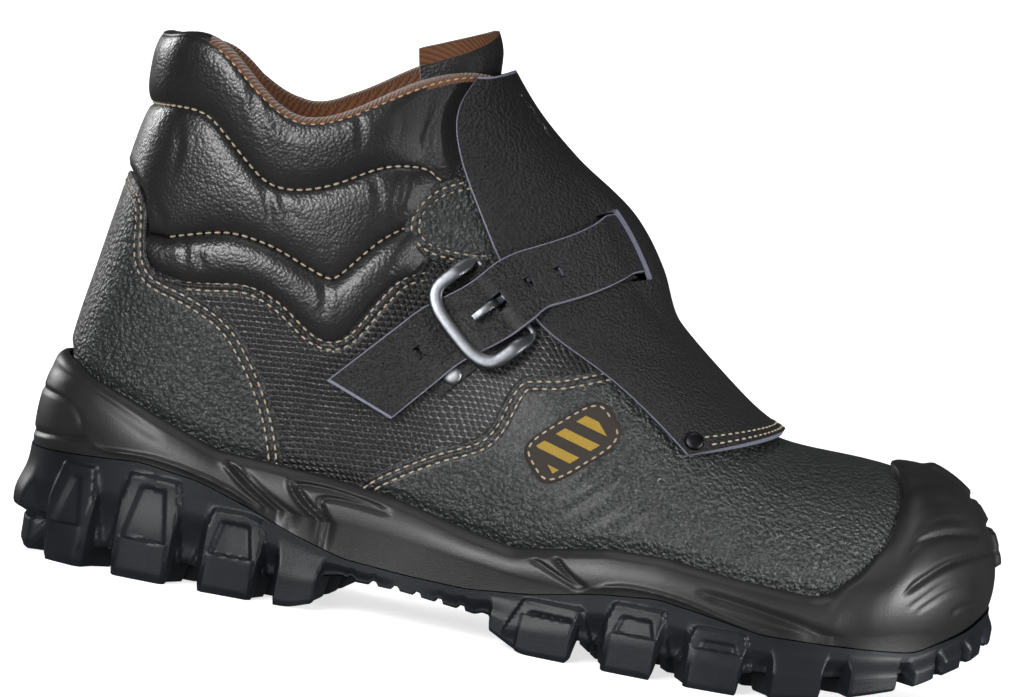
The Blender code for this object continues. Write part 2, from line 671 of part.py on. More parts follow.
tongue_outer = clear_of(tongue_outer, inside_points, inside_normals, 1.0, 15.0)
tongue_along = np.gradient(tongue_outer, axis=0)
tongue_across = np.gradient(tongue_outer, axis=1)
tongue_normal = unit(np.cross(tongue_across, tongue_along))
tongue_normal *= np.sign(tongue_normal[:, 4:5, 0:1])
tongue_inner = tongue_outer - tongue_normal * tongue_rows[:, 5][:, None, None]
shell("tongue", tongue_outer, tongue_inner, "leather", None, False, (), 0.6)

flap_table = np.array(FLAP)
lateral_edge = []
medial_edge = []
for ridge_x, ridge_z, edge_x, edge_z in FLAP:
    point, normal = on_side(edge_x, edge_z, "lateral")
    lateral_edge.append(point + normal * FLAP_STANDOFF[0])
    point, normal = on_side(edge_x, edge_z, "medial")
    medial_edge.append(point + normal * FLAP_STANDOFF[1])
lateral_edge = np.array(lateral_edge)
medial_edge = np.array(medial_edge)


def flap_point(row, angle):
    """Return points of the flap's underside: an arch from its ridge to its side edge in each row."""
    row = np.asarray(row, float)
    angle = np.asarray(angle, float)
    ridge = spline(flap_table[:, :2], row)
    ridge_point = np.stack([ridge[:, 0], np.zeros(len(row)), ridge[:, 1]], 1)
    edge = np.where(angle[:, None] > 0, spline(lateral_edge, row), spline(medial_edge, row))
    turn = np.radians(np.abs(angle))[:, None]
    arch = ridge_point + (edge - ridge_point) * (1.0 - np.cos(turn)) ** 0.9
    arch[:, 1] = edge[:, 1] * np.sin(turn[:, 0]) ** 0.92
    lift = SLIT_LIFT * ease(row, 3.6, 5.0) * (1.0 - ease(row, 6.2, 7.8))
    lift = lift * (1.0 - ease(angle, SLIT_ANGLES[0], SLIT_ANGLES[1])) * ease(angle, -80.0, -20.0)
    outward = unit(arch - np.array([130.0, 0.0, 70.0]))
    return arch + outward * lift[:, None]


def flap_grid(rows, angles):
    """Return the flap's underside and its outward normals on a grid."""
    grid_row, grid_angle = np.meshgrid(rows, angles, indexing="ij")
    flat = flap_point(grid_row.ravel(), grid_angle.ravel())
    ahead = flap_point(grid_row.ravel() + 0.05, grid_angle.ravel())
    behind = flap_point(grid_row.ravel() - 0.05, grid_angle.ravel())
    left = flap_point(grid_row.ravel(), np.clip(grid_angle.ravel() + 1.0, -90, 90))
    right = flap_point(grid_row.ravel(), np.clip(grid_angle.ravel() - 1.0, -90, 90))
    normal = unit(np.cross(ahead - behind, left - right))
    shape = grid_row.shape + (3,)
    outward = flat - np.array([130.0, 0.0, 60.0])
    normal *= np.sign(np.sum(normal * outward, 1))[:, None]
    return flat.reshape(shape), normal.reshape(shape)


# Flap: the arched sheet with a slit for the strap.
flap_under, flap_normal = flap_grid(FLAP_ROWS, FLAP_ANGLES)
outer_points = np.concatenate([SIDE_POINTS["lateral"], SIDE_POINTS["medial"]])
outer_normals = np.concatenate([SIDE_NORMALS["lateral"], SIDE_NORMALS["medial"]])
near_flap = (outer_points[:, 2] > 60.0) & (outer_points[:, 0] > 105.0) & (outer_points[:, 0] < 245.0)
outer_points = outer_points[near_flap][::3]
outer_normals = outer_normals[near_flap][::3]
grid_row, grid_angle = np.meshgrid(FLAP_ROWS, FLAP_ANGLES, indexing="ij")
strap_room = ease(grid_row, 2.0, 3.4) * (1.0 - ease(grid_row, 7.0, 8.4)) * ease(-grid_angle, 4.0, 16.0)
flap_under = clear_of(flap_under, outer_points, outer_normals, 0.9 + 3.2 * strap_room, 6.0)
flap_keep = np.ones((len(FLAP_ROWS) - 1, len(FLAP_ANGLES) - 1), bool)
for row in range(len(FLAP_ROWS) - 1):
    for column in range(len(FLAP_ANGLES) - 1):
        in_rows = SLIT_ROWS[0] <= FLAP_ROWS[row] < SLIT_ROWS[1]
        in_angles = SLIT_ANGLES[0] < FLAP_ANGLES[column] <= SLIT_ANGLES[1]
        flap_keep[row, column] = not (in_rows and in_angles)
shell("flap", flap_under + flap_normal * FLAP_THICK, flap_under, "flap", flap_keep, False, (), 0.6)

# The strap's own directions in side view.
strap_dir = np.array([np.cos(np.radians(STRAP_UP)), np.sin(np.radians(STRAP_UP))])
strap_side = np.array([strap_dir[1], -strap_dir[0]])


def on_strap(along, across, side="lateral"):
    """Return the upper's point and normal at places along and across the strap."""
    x, z = along * strap_dir + across * strap_side
    return on_side(x, z, side)


def hole_columns(width):
    """Return places across the strap, with the edges of a hole in the middle."""
    half = HOLE_SIZE[1] / 2.0
    middle = width / 4.0 + half / 2.0
    return np.array([-width / 2.0, -middle, -half, half, middle, width / 2.0])


# Strap: the free end over the upper, then over the flap, through the slit and down the medial side.
places = hole_columns(STRAP_WIDTH)
strap_rows = []
strap_rows_normal = []
free_along = []
for along, _ in STRAP_FREE:
    free_along.append(along)
for hole in STRAP_HOLES:
    free_along.append(hole - HOLE_SIZE[0] / 2.0)
    free_along.append(hole + HOLE_SIZE[0] / 2.0)
free_along = np.array(sorted(set(free_along)))
free_height = np.interp(free_along, [row[0] for row in STRAP_FREE], [row[1] for row in STRAP_FREE])
for along, lift in zip(free_along, free_height):
    centre = STRAP_FREE_CENTRE + (STRAP_CENTRE - STRAP_FREE_CENTRE) * ease(along, 146.0, 170.0)
    row = []
    row_normal = []
    for place in places:
        slant = 8.0 * place / STRAP_WIDTH * (1.0 - ease(along, 118.0, 132.0))
        point, normal = on_strap(along + slant, centre + place)
        row.append(point + normal * lift)
        row_normal.append(normal)
    strap_rows.append(row)
    strap_rows_normal.append(row_normal)
strap_share = (places + STRAP_WIDTH / 2.0) / STRAP_WIDTH


def strap_flap_row(angle, gap_out):
    """Return a strap row over (gap_out > 0) or under the flap at one angle of its arch."""
    turn = abs(angle)
    upper_row = np.interp(turn, [0.0, 30.0, 90.0], [6.25, 6.2, 5.1])
    lower_row = np.interp(turn, [0.0, 30.0, 90.0], [5.0, 4.95, 3.55])
    rows = upper_row + (lower_row - upper_row) * strap_share
    under, normal = flap_grid(rows, [angle])
    return under[:, 0] + normal[:, 0] * gap_out, normal[:, 0]


over = FLAP_THICK + GAP + STRAP_THICK / 2.0 + 0.3
under = -(GAP + STRAP_THICK / 2.0 + 0.6)
for angle in STRAP_OVER:
    points, normals = strap_flap_row(angle, over)
    strap_rows.append(points)
    strap_rows_normal.append(normals)
for angle in STRAP_UNDER:
    points, normals = strap_flap_row(angle, under)
    strap_rows.append(points)
    strap_rows_normal.append(normals)
for along, lift in STRAP_ANCHOR:
    row = []
    row_normal = []
    for place in places:
        point, normal = on_strap(along, STRAP_CENTRE + place, "medial")
        row.append(point + normal * lift)
        row_normal.append(normal)
    strap_rows.append(row)
    strap_rows_normal.append(row_normal)
strap_middle = np.array(strap_rows)
strap_normal = np.array(strap_rows_normal)
strap_middle = clear_of(strap_middle, outer_points, outer_normals, STRAP_THICK / 2.0 + 0.85, 4.0)
strap_keep = np.ones((len(strap_middle) - 1, len(places) - 1), bool)
for hole in STRAP_HOLES:
    row = int(np.argmin(np.abs(free_along - (hole - HOLE_SIZE[0] / 2.0))))
    strap_keep[row, 2] = False
strap_half = strap_normal * STRAP_THICK / 2.0
shell("strap", strap_middle + strap_half, strap_middle - strap_half, "flap", strap_keep, False, (), 0.6)

# The buckle's own flat frame: along the strap, across it and out from the leather.
buckle_origin, buckle_out = on_strap(163.0, STRAP_CENTRE - 1.0)
buckle_along = np.array([strap_dir[0], 0.0, strap_dir[1]])
buckle_along = unit(buckle_along - buckle_out * np.dot(buckle_along, buckle_out))
buckle_across = np.cross(buckle_along, buckle_out)
if buckle_across[0] < 0:
    buckle_across = -buckle_across


def in_buckle(along, across, out):
    """Return points from places in the buckle's frame."""
    along = np.asarray(along, float)[:, None]
    across = np.asarray(across, float)[:, None]
    out = np.asarray(out, float)[:, None]
    return buckle_origin + along * buckle_along + across * buckle_across + out * buckle_out


# Buckle frame: a straight hinge bar under the strap and a rounded bar over it.
turn = np.radians(np.linspace(-90.0, 90.0, 15))
hinge = HINGE_ALONG - 163.0
reach = FRAME_REACH - FRAME_HALF * 0.62
frame_along = np.concatenate([[hinge, hinge, hinge], hinge - reach - 0.62 * FRAME_HALF * np.cos(turn[::-1])])
frame_across = np.concatenate([[-FRAME_HALF, 0.0, FRAME_HALF], FRAME_HALF * np.sin(turn[::-1])])
frame_out = HINGE_HEIGHT + (BAR_HEIGHT - HINGE_HEIGHT) * ease(hinge - frame_along, -1.0, reach * 0.8)
frame_path = in_buckle(frame_along, frame_across, frame_out)
frame_slope = unit(np.roll(frame_path, -1, 0) - np.roll(frame_path, 1, 0))
frame_side = unit(np.cross(frame_slope, buckle_out))
frame_up = unit(np.cross(frame_side, frame_slope))
frame_side[:3] *= BAR_RADIUS / FRAME_BAR[0]
frame_up[:3] *= BAR_RADIUS / FRAME_BAR[1]
points, faces = tube(frame_path, frame_side, frame_up, FRAME_BAR[0], FRAME_BAR[1], True)
add_object("buckle_frame", points, faces, "steel", 0.32, 1.0)

# Buckle prong: hooked around the hinge bar, up through the hole and along the strap.
hook = np.radians(np.linspace(-150.0, 120.0, 10))
hook_radius = BAR_RADIUS + GAP + 0.15 + PRONG_BAR[1]
prong_along = np.concatenate([hinge + hook_radius * np.cos(hook),
                              hinge - np.array([1.6, 2.3, 3.9, 8.0, PRONG_REACH])])
prong_out = np.concatenate([HINGE_HEIGHT + hook_radius * np.sin(hook), [6.8, 8.9, 10.3, 10.5, 10.2]])
prong_path = in_buckle(prong_along, np.zeros(len(prong_along)), prong_out)
prong_slope = unit(np.gradient(prong_path, axis=0))
prong_across = np.repeat(buckle_across[None, :], len(prong_path), 0)
prong_up = unit(np.cross(prong_across, prong_slope))
points, faces = tube(prong_path, prong_across, prong_up, PRONG_BAR[0], PRONG_BAR[1], False, 6)
add_object("buckle_prong", points, faces, "steel", 0.3, 1.0)

# Buckle tab: a strip along the leather whose end is wrapped around the hinge bar on both sides of the prong.
tab_places = np.array([-TAB_HALF, -2.4, 2.4, TAB_HALF])
tab_middle = []
tab_facing = []
for along in TAB_ROWS:
    row = []
    row_facing = []
    for place in tab_places:
        point, normal = on_strap(along, TAB_CENTRE + place)
        row.append(point + normal * (GAP + TAB_THICK / 2.0))
        row_facing.append(-normal)
    tab_middle.append(row)
    tab_facing.append(row_facing)
tab_radius = BAR_RADIUS + GAP + 0.2 + TAB_THICK / 2.0
for angle in np.radians((-110.0, -70.0, -30.0, 10.0, 50.0, 90.0, 130.0)):
    along_shift = hinge + tab_radius * np.cos(angle)
    out_shift = HINGE_HEIGHT + tab_radius * np.sin(angle)
    count = len(tab_places)
    row = in_buckle(np.full(count, along_shift), tab_places * 0.98 - 0.4, np.full(count, out_shift))
    facing = np.cos(angle) * buckle_along + np.sin(angle) * buckle_out
    tab_middle.append(row)
    tab_facing.append(np.repeat(facing[None, :], count, 0))
tab_middle = np.array(tab_middle)
tab_facing = np.array(tab_facing)
tab_keep = np.ones((len(tab_middle) - 1, len(tab_places) - 1), bool)
tab_keep[len(TAB_ROWS) - 1:, 1] = False
tab_half = tab_facing * TAB_THICK / 2.0
shell("buckle_tab", tab_middle + tab_half, tab_middle - tab_half, "leather", tab_keep, False, (), 0.6)


def rivet(name, centre, axis, radius, tall):
    """Make a dome that stands on the plane through centre."""
    axis = unit(axis)
    first = unit(np.cross(axis, np.array([0.3, 0.2, 0.9])))
    second = np.cross(axis, first)
    steps = ((1.0, 0.0), (1.0, 0.35), (0.86, 0.7), (0.5, 0.95))
    turn = np.arange(12) * 2.0 * np.pi / 12
    points = []
    faces = []
    for size, lift in steps:
        for angle in turn:
            points.append(centre + radius * size * (np.cos(angle) * first + np.sin(angle) * second)
                          + axis * tall * lift)
    points.append(centre + axis * tall)
    for row in range(len(steps) - 1):
        for side in range(12):
            first_corner = row * 12 + side
            next_corner = row * 12 + (side + 1) % 12
            faces.append((first_corner, next_corner, next_corner + 12, first_corner + 12))
    for side in range(12):
        faces.append((36 + side, 36 + (side + 1) % 12, 48))
    faces.append(tuple(range(12)))
    return add_object(name, points, faces, "rivet", 0.4, 0.6)


# Rivets: two on the front end of the flap and two on the buckle's tab.
for name, angle in (("flap_rivet_lateral", 80.0), ("flap_rivet_medial", -80.0)):
    under_point, under_normal = flap_grid([0.32], [angle])
    rivet(name, under_point[0, 0] + under_normal[0, 0] * (FLAP_THICK + 0.3), under_normal[0, 0], 3.0, 1.2)

for name, shift in (("tab_rivet_1", 1.0), ("tab_rivet_2", -1.0)):
    seat, seat_normal = on_strap(TAB_RIVETS[0], TAB_CENTRE + shift * TAB_RIVETS[1])
    rivet(name, seat + seat_normal * (GAP + TAB_THICK + 0.3), seat_normal, RIVET_RADIUS, 1.0)
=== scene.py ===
# %% [markdown]
# A welding shoe for the right foot, dressed for its picture.
# The packed parts give the size and the place of everything. This lesson covers each of them with a finer
# surface: leather panels, padded rolls, moulded rubber, thread and steel. All shapes are worked out as whole
# arrays, in millimetres measured from the back of the heel, and become metres when a mesh is made.

import bmesh
import bpy
import numpy as np
from mathutils import Matrix, Vector


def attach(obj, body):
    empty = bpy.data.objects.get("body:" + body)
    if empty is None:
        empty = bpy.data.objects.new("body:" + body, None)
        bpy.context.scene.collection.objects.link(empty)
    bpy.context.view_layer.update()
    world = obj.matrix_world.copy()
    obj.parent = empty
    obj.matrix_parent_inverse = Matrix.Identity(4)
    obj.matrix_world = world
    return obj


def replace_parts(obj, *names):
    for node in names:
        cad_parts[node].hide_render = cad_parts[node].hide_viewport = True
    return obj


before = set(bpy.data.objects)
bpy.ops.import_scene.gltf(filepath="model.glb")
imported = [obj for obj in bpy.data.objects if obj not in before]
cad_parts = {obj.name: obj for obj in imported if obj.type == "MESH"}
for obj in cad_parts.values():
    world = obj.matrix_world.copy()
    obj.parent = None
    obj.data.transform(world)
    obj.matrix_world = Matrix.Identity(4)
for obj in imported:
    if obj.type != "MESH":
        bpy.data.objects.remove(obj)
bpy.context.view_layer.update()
MM = 0.001
OFFSET = np.array([0.15572055, -0.00105205, 0.0])
print("frame nodes:", sorted(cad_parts))

# %% [markdown]
# The last is the wooden foot that a shoemaker pulls the leather over. Here it is a table with one row for
# each station from heel to toe. A sculpted mesh could be used too, but a table and a formula let every panel,
# seam and stitch be placed on exactly the same surface.

# %% The last and its sizes
SHOE_LENGTH = 310.0
BALL_HALF = 50.0
COLLAR_HEIGHT = 168.0
LEATHER = 2.4
COLLAR_PAD = 6.0

# along, top_along: percent of the length. lateral, medial, ridge, half_gap, out: percent of BALL_HALF.
# top_height, up, down: percent of COLLAR_HEIGHT.
LAST_COLUMNS = ("along", "lateral", "medial", "top_along", "ridge", "half_gap", "top_height",
                "out_low", "up", "out_high", "down")
LAST = {
    "heel_back": (2.9, 0, 0, 6.4, 0, 0, 99.5, 12, 27, -6, 34),
    "heel_turn": (4.8, -41, 41, 7.8, 0, 44, 99.6, 12, 27, -12, 32),
    "heel_side": (12.6, -66, 64, 13.4, 0, 72, 98.6, 10, 25, -14, 29),
    "ankle": (22.3, -70, 66, 22.0, 0, 77, 88.6, 8, 24, -8, 24),
    "ankle_front": (32.0, -72, 64, 32.0, 0, 64, 97.2, 8, 25, 4, 26),
    "facing_top": (41.0, -75, 62, 41.6, 0, 27, 101.5, 8, 26, 24, 21),
    "facing_mid": (49.5, -84, 66, 50.0, 0, 23, 87.0, 10, 24, 32, 15),
    "instep": (58.4, -94, 76, 58.6, 0, 20, 70.0, 12, 20, 44, 9.5),
    "throat": (68.4, -100, 90, 69.0, 0, 10, 51.5, 12, 17, 60, 4),
    "vamp": (76.1, -99, 96, 75.8, 1, 0, 44.6, 12, 15.5, 60, 1),
    "cap_back": (84.5, -88, 95, 83.0, 4, 0, 43.8, 12, 15.5, 56, 0.5),
    "cap_side": (91.4, -62, 80, 89.0, 8, 0, 42.6, 12, 14, 40, 1.5),
    "toe_side": (95.0, -28, 56, 92.6, 13, 0, 39.6, 12, 12, 24, 3.5),
    "toe_tip": (96.4, 16, 16, 94.5, 16, 0, 36.5, 10, 9, 12, 5),
}
TOE = len(LAST) - 1
RING = 2 * TOE
THROAT = list(LAST).index("vamp")


def table(columns, rows):
    """Return the columns of a table by name, each as an array."""
    values = np.array(list(rows), float)
    return {name: values[:, place] for place, name in enumerate(columns)}


LAST_TABLE = table(LAST_COLUMNS, LAST.values())
print("stations from heel to toe:", len(LAST))


def unit(vectors):
    """Return vectors at length one."""
    return vectors / np.maximum(np.linalg.norm(vectors, axis=-1, keepdims=True), 1e-9)


def ease(value, start, end):
    """Return 3t^2 - 2t^3, where t runs from 0 at start to 1 at end."""
    share = np.clip((np.asarray(value, float) - start) / (end - start), 0.0, 1.0)
    return share * share * (3.0 - 2.0 * share)


def spline(rows, at, closed=False):
    """Return points at the parameters `at` of the cubic curve that passes row k at parameter k."""
    rows = np.asarray(rows, float)
    flat = rows.reshape(len(rows), -1)
    count = len(flat)
    system = 4.0 * np.eye(count) + np.roll(np.eye(count), 1, 0) + np.roll(np.eye(count), -1, 0)
    right = 6.0 * (np.roll(flat, 1, 0) - 2.0 * flat + np.roll(flat, -1, 0))
    if not closed:
        system[[0, -1]] = np.eye(count)[[0, -1]]
        right[[0, -1]] = 0.0
    bend = np.linalg.solve(system, right)
    at = np.asarray(at, float)
    low = np.floor(at).astype(int)
    low = low % count if closed else np.clip(low, 0, count - 2)
    high = (low + 1) % count
    share = (at - np.floor(at) if closed else at - low).reshape(-1, 1)
    left = 1.0 - share
    value = left * flat[low] + share * flat[high]
    value += (left ** 3 - left) * bend[low] / 6.0 + (share ** 3 - share) * bend[high] / 6.0
    return value.reshape((len(at),) + rows.shape[1:])


# %% [markdown]
# The sole has a table of heights along the shoe: the floor under the foot, the line where midsole and outsole
# part, the underside of the midsole, and the tread on its lugs and between them. They are eased between the
# rows, because a mould has no kinks there.

# %% Heights along the sole
HEIGHT_COLUMNS = ("x", "floor", "parting", "core", "ground", "base")
HEIGHTS = (
    (0, 32, 32, 22, 1.5, 8.5),
    (14, 31.8, 33, 22, 0, 7),
    (40, 31, 36, 22, 0, 7),
    (58, 30.2, 33.5, 22, 0, 7),
    (75, 29.4, 28, 21, 0, 7),
    (92, 28.2, 22, 19.5, 0, 8.5),
    (106, 27.4, 18, 18.5, 5, 12.5),
    (126, 25.8, 16.6, 17.5, 12.5, 12.5),
    (146, 23.8, 16.2, 16, 10, 10.5),
    (166, 22, 18.5, 13.5, 0, 7.5),
    (186, 20.9, 22.8, 13, 0, 7),
    (204, 20.5, 24.8, 13, 0, 7),
    (218, 20.5, 22.8, 13, 0, 7),
    (236, 20.8, 19.6, 13, 0, 7),
    (258, 22.4, 19.8, 14, 3, 9),
    (280, 25, 20.8, 16.5, 10, 13.5),
    (292, 27, 28, 20, 17, 19),
    (300, 28.5, 37, 23, 25, 27),
)
HEIGHT_TABLE = table(HEIGHT_COLUMNS, HEIGHTS)


def bell(count):
    """Return weights in the shape of a bell that add up to one."""
    weights = np.hanning(count + 2)[1:-1]
    return weights / weights.sum()


def height(name, x):
    """Return a named height at distances x from the back of the heel, eased between the rows."""
    fine = np.linspace(HEIGHT_TABLE["x"][0], HEIGHT_TABLE["x"][-1], 301)
    values = np.interp(fine, HEIGHT_TABLE["x"], HEIGHT_TABLE[name])
    smooth = np.convolve(np.pad(values, 4, mode="edge"), bell(9), mode="valid")
    return np.interp(x, fine, smooth)


print("heel seat", height("floor", 40.0), "mm and toe", height("floor", 300.0), "mm above the ground")

# %% [markdown]
# Each wall is a cubic curve from the feather line, where the upper meets the sole, to the top edge, and two
# vectors steer it. The ring of walls starts at the heel, runs along the outer side to the toe and comes back
# along the inner side. A cubic needs few sizes and bends evenly, so light runs smoothly over the leather.

# %% The walls of the last
def ring_rows(values, mirrored):
    """Return a value for every place of the ring: heel, lateral side, toe, medial side."""
    return np.concatenate([values, np.asarray(mirrored)[TOE - 1:0:-1]])


def foot_and_top(ring):
    """Return the foot, its outward normal, the top and the two steering vectors of each wall."""
    last = LAST_TABLE
    station = np.where(ring <= TOE, ring, RING - ring)
    side = np.where(ring <= TOE, -1.0, 1.0)
    along = ring_rows(last["along"], last["along"]) * SHOE_LENGTH / 100.0
    across = ring_rows(last["lateral"], last["medial"]) * BALL_HALF / 100.0
    plan = np.stack([along, across], 1)
    foot = spline(plan, ring, True)
    slope = spline(plan, (ring + 0.02) % RING, True) - spline(plan, (ring - 0.02) % RING, True)
    normal = unit(np.stack([slope[:, 1], -slope[:, 0], np.zeros(len(ring))], 1))
    foot = np.column_stack([foot, height("floor", foot[:, 0])])
    steer = {}
    for name in ("top_along", "ridge", "top_height", "out_low", "up", "out_high", "down"):
        steer[name] = spline(ring_rows(last[name], last[name])[:, None], ring, True)[:, 0]
    half = np.interp(station, np.arange(len(LAST)), last["half_gap"])
    soft = spline(ring_rows(last["half_gap"], last["half_gap"])[:, None], ring, True)[:, 0]
    half = np.where(station < THROAT - 2, soft, half) * BALL_HALF / 100.0
    half = np.where(station < 0.001, 0.0, half)
    top = np.stack([steer["top_along"] * SHOE_LENGTH / 100.0,
                    steer["ridge"] * BALL_HALF / 100.0 + side * half,
                    steer["top_height"] * COLLAR_HEIGHT / 100.0], 1)
    rise = np.array([0.0, 0.0, COLLAR_HEIGHT / 100.0])
    low = normal * (steer["out_low"] * BALL_HALF / 100.0)[:, None] + steer["up"][:, None] * rise
    high = normal * (steer["out_high"] * BALL_HALF / 100.0)[:, None] - steer["down"][:, None] * rise
    return foot, normal, top, low, high


def grid_of(ring, share):
    """Return ring and share as two arrays of one grid shape."""
    ring = np.asarray(ring, float) % RING
    share = np.asarray(share, float)
    if share.ndim == 1:
        share = np.broadcast_to(share, (len(ring), len(share)))
    return ring, share


def wall(ring, share):
    """Return points of the upper: the cubic with end points foot and top, at a share of the way up."""
    ring, share = grid_of(ring, share)
    foot, _, top, low, high = foot_and_top(ring)
    s = share[:, :, None]
    return ((1 - s) ** 3 * foot[:, None] + 3 * s * (1 - s) ** 2 * (foot + low)[:, None]
            + 3 * s * s * (1 - s) * (top + high)[:, None] + s ** 3 * top[:, None])


def slope_normal(ring, share):
    """Return the cross product of the wall's slope around the shoe and its slope upward."""
    around = wall((ring + 0.03) % RING, share) - wall((ring - 0.03) % RING, share)
    upward = wall(ring, np.clip(share + 0.004, 0, 1)) - wall(ring, share - 0.002)
    return unit(np.cross(around, upward))


def wall_normal(ring, share):
    """Return the outward normals of the upper, shared by both sides where they meet on the ridge."""
    ring, share = grid_of(ring, share)
    inside = np.clip(share, 0.002, 0.995)
    normal = slope_normal(ring, inside)
    other = slope_normal((RING - ring) % RING, inside)
    on_ridge = (share > 0.97) & (np.minimum(ring, RING - ring) >= THROAT - 1e-6)[:, None]
    weight = ease(share, 0.97, 1.0)[:, :, None] * on_ridge[:, :, None]
    return unit(normal + other * weight)


def on_wall(ring, share):
    """Return points and outward normals of the upper at single places, one for each ring and share."""
    return wall(ring, share[:, None])[:, 0], wall_normal(ring, share[:, None])[:, 0]


print("feather line:", np.round(foot_and_top(np.array([0.0, 6.0, 13.0]))[0], 1).tolist())

# %% [markdown]
# Seams are read off the shoe as a maker would mark them: a few points on the side of the last, given as the
# distance from the heel and the height. To lay one on the leather, its place on the last has to be found
# from those two numbers, which is done by a coarse search and a few steps of Newton's method.

# %% Places on the side of the last
SEARCH_RING = np.linspace(0.15, TOE - 0.3, 300)
SEARCH_SHARE = np.linspace(0.0, 1.0, 160)
SEARCH = wall(SEARCH_RING, SEARCH_SHARE)[:, :, [0, 2]].reshape(-1, 2)


def nearest(points, cloud):
    """Return which point of a cloud is nearest to each point: where |b|^2 - 2ab is least, in blocks."""
    square = (cloud ** 2).sum(1)
    blocks = np.array_split(points, max(1, len(points) // 400))
    return np.concatenate([np.argmin(square - 2.0 * block @ cloud.T, 1) for block in blocks])


def side_place(x, z):
    """Return ring and share of the lateral side's points that show at (x, z) in side view."""
    goal = np.stack([np.asarray(x, float), np.asarray(z, float)], 1)
    near = nearest(goal, SEARCH)
    ring = SEARCH_RING[near // len(SEARCH_SHARE)]
    share = SEARCH_SHARE[near % len(SEARCH_SHARE)]
    for _ in range(4):
        here = wall(ring, share[:, None])[:, 0, [0, 2]]
        by_ring = (wall(ring + 0.01, share[:, None])[:, 0, [0, 2]] - here) / 0.01
        by_share = (wall(ring, share[:, None] - 0.005)[:, 0, [0, 2]] - here) / -0.005
        miss = goal - here
        turn = by_ring[:, 0] * by_share[:, 1] - by_ring[:, 1] * by_share[:, 0]
        turn = np.where(np.abs(turn) < 5.0, 5.0 * np.sign(turn + 1e-9), turn)
        step_ring = (miss[:, 0] * by_share[:, 1] - miss[:, 1] * by_share[:, 0]) / turn
        step_share = (by_ring[:, 0] * miss[:, 1] - by_ring[:, 1] * miss[:, 0]) / turn
        ring = np.clip(ring + np.clip(step_ring, -0.1, 0.1), 0.0, TOE - 0.02)
        share = np.clip(share + np.clip(step_share, -0.05, 0.05), 0.0, 1.0)
    return ring, share


def on_side(x, z, side="lateral"):
    """Return points and outward normals of the upper at places given as they show from the side."""
    ring, share = side_place(np.ravel(x), np.ravel(z))
    ring = ring if side == "lateral" else RING - ring
    return [grid.reshape(np.shape(x) + (3,)) for grid in on_wall(ring, share)]


def run_of(line):
    """Return the distance along a line at each of its points."""
    return np.concatenate([[0.0], np.cumsum(np.linalg.norm(np.diff(line, axis=0), axis=1))])


def read_off(at, run, rows):
    """Return rows of numbers read off at distances `at` along their run."""
    return np.stack([np.interp(at, run, column) for column in rows.T], 1)


def curve(points, count):
    """Return `count` evenly spaced points of the smooth curve through a few points."""
    points = np.asarray(points, float)
    fine = spline(points, np.linspace(0.0, len(points) - 1.0, 40 * len(points)))
    length = run_of(fine)
    return read_off(np.linspace(0.0, length[-1], count), length, fine)


class Seam:
    """A line marked on the side of the last, with its ring places and shares."""

    def __init__(self, points, count=160, lead=None):
        line = curve(points, count)
        self.ring, self.share = side_place(line[:, 0], line[:, 1])
        if lead is not None:
            self.ring = np.concatenate([[0.0], self.ring])
            self.share = np.concatenate([[lead], self.share])
        self.ring = np.maximum.accumulate(self.ring + 1e-6 * np.arange(len(self.ring)))

    def at(self, ring):
        """Return the share of this line at other ring places, mirrored for the medial side."""
        station = np.minimum(np.asarray(ring) % RING, RING - np.asarray(ring) % RING)
        return np.interp(station, self.ring, self.share)


def back_share(z):
    """Return the share of the heel's back wall at a height."""
    climb = wall(np.array([0.0]), np.linspace(0.0, 1.0, 200))[0, :, 2]
    return float(np.interp(z, climb, np.linspace(0.0, 1.0, 200)))


HEEL_EDGE = Seam(((19.6, 121), (26.2, 113.4), (28.6, 100.6), (33.1, 93.6), (41.4, 91.1), (50.9, 87.8),
                  (59.6, 82.8), (66.7, 75), (72.7, 66.2), (78.1, 55.8), (81.3, 46.5), (83.5, 38)),
                 lead=back_share(122))
QUARTER_TOP = Seam(((41.8, 94.9), (51.6, 96.2), (62.6, 97.1), (74.7, 92.6), (83.7, 86.4), (90.6, 84.9),
                    (95.4, 89.1), (99.7, 96.7), (104, 103.5), (108.8, 108.4), (115.9, 111.3),
                    (124, 113), (134, 114)), lead=back_share(92))
COLLAR_LOW = Seam(((34.2, 105.4), (49.1, 109.7), (58.1, 110.2), (67.1, 108.6), (75.5, 105.6), (83.8, 102.6),
                   (88.5, 103.1), (93.8, 109.4), (99.5, 116.1), (103.8, 119.7), (112, 124),
                   (130, 127)), lead=back_share(103))
COLLAR_HIGH = Seam(((20.5, 144.8), (35.9, 145.7), (45.5, 140.9), (56.3, 131.7), (63.7, 127.4), (72.7, 127.5),
                    (84.1, 131.8), (94.3, 137.7), (103.8, 140.4), (110.8, 140.1), (115.6, 137.5),
                    (130, 135)), lead=back_share(144.6))
VAMP_EDGE = Seam(((104, 38), (110.4, 44.9), (122.4, 53), (132.3, 58.3), (140.1, 62.3), (144, 68),
                  (146.1, 74.9), (148.3, 80.3), (152.1, 83.5), (160.1, 85), (168.8, 87.8), (180, 92)))
print("seams marked:", len(HEEL_EDGE.ring), "places on the heel panel's edge")

# %% [markdown]
# Every sheet of leather or skin of rubber below is a grid of points. One helper turns a grid into a mesh: it
# makes the quads with index arithmetic, writes the map that a printed leather follows, welds the places where
# a grid meets itself, and turns the faces outward by comparing them with the normals that the formula gave.

# %% From grids to meshes
PIECES = []


def quads_of(index, keep=None):
    """Return the quads between neighbouring rows and columns of an index grid."""
    quads = np.stack([index[:-1, :-1], index[1:, :-1], index[1:, 1:], index[:-1, 1:]], -1)
    return (quads if keep is None else quads[keep]).reshape(-1, 4)


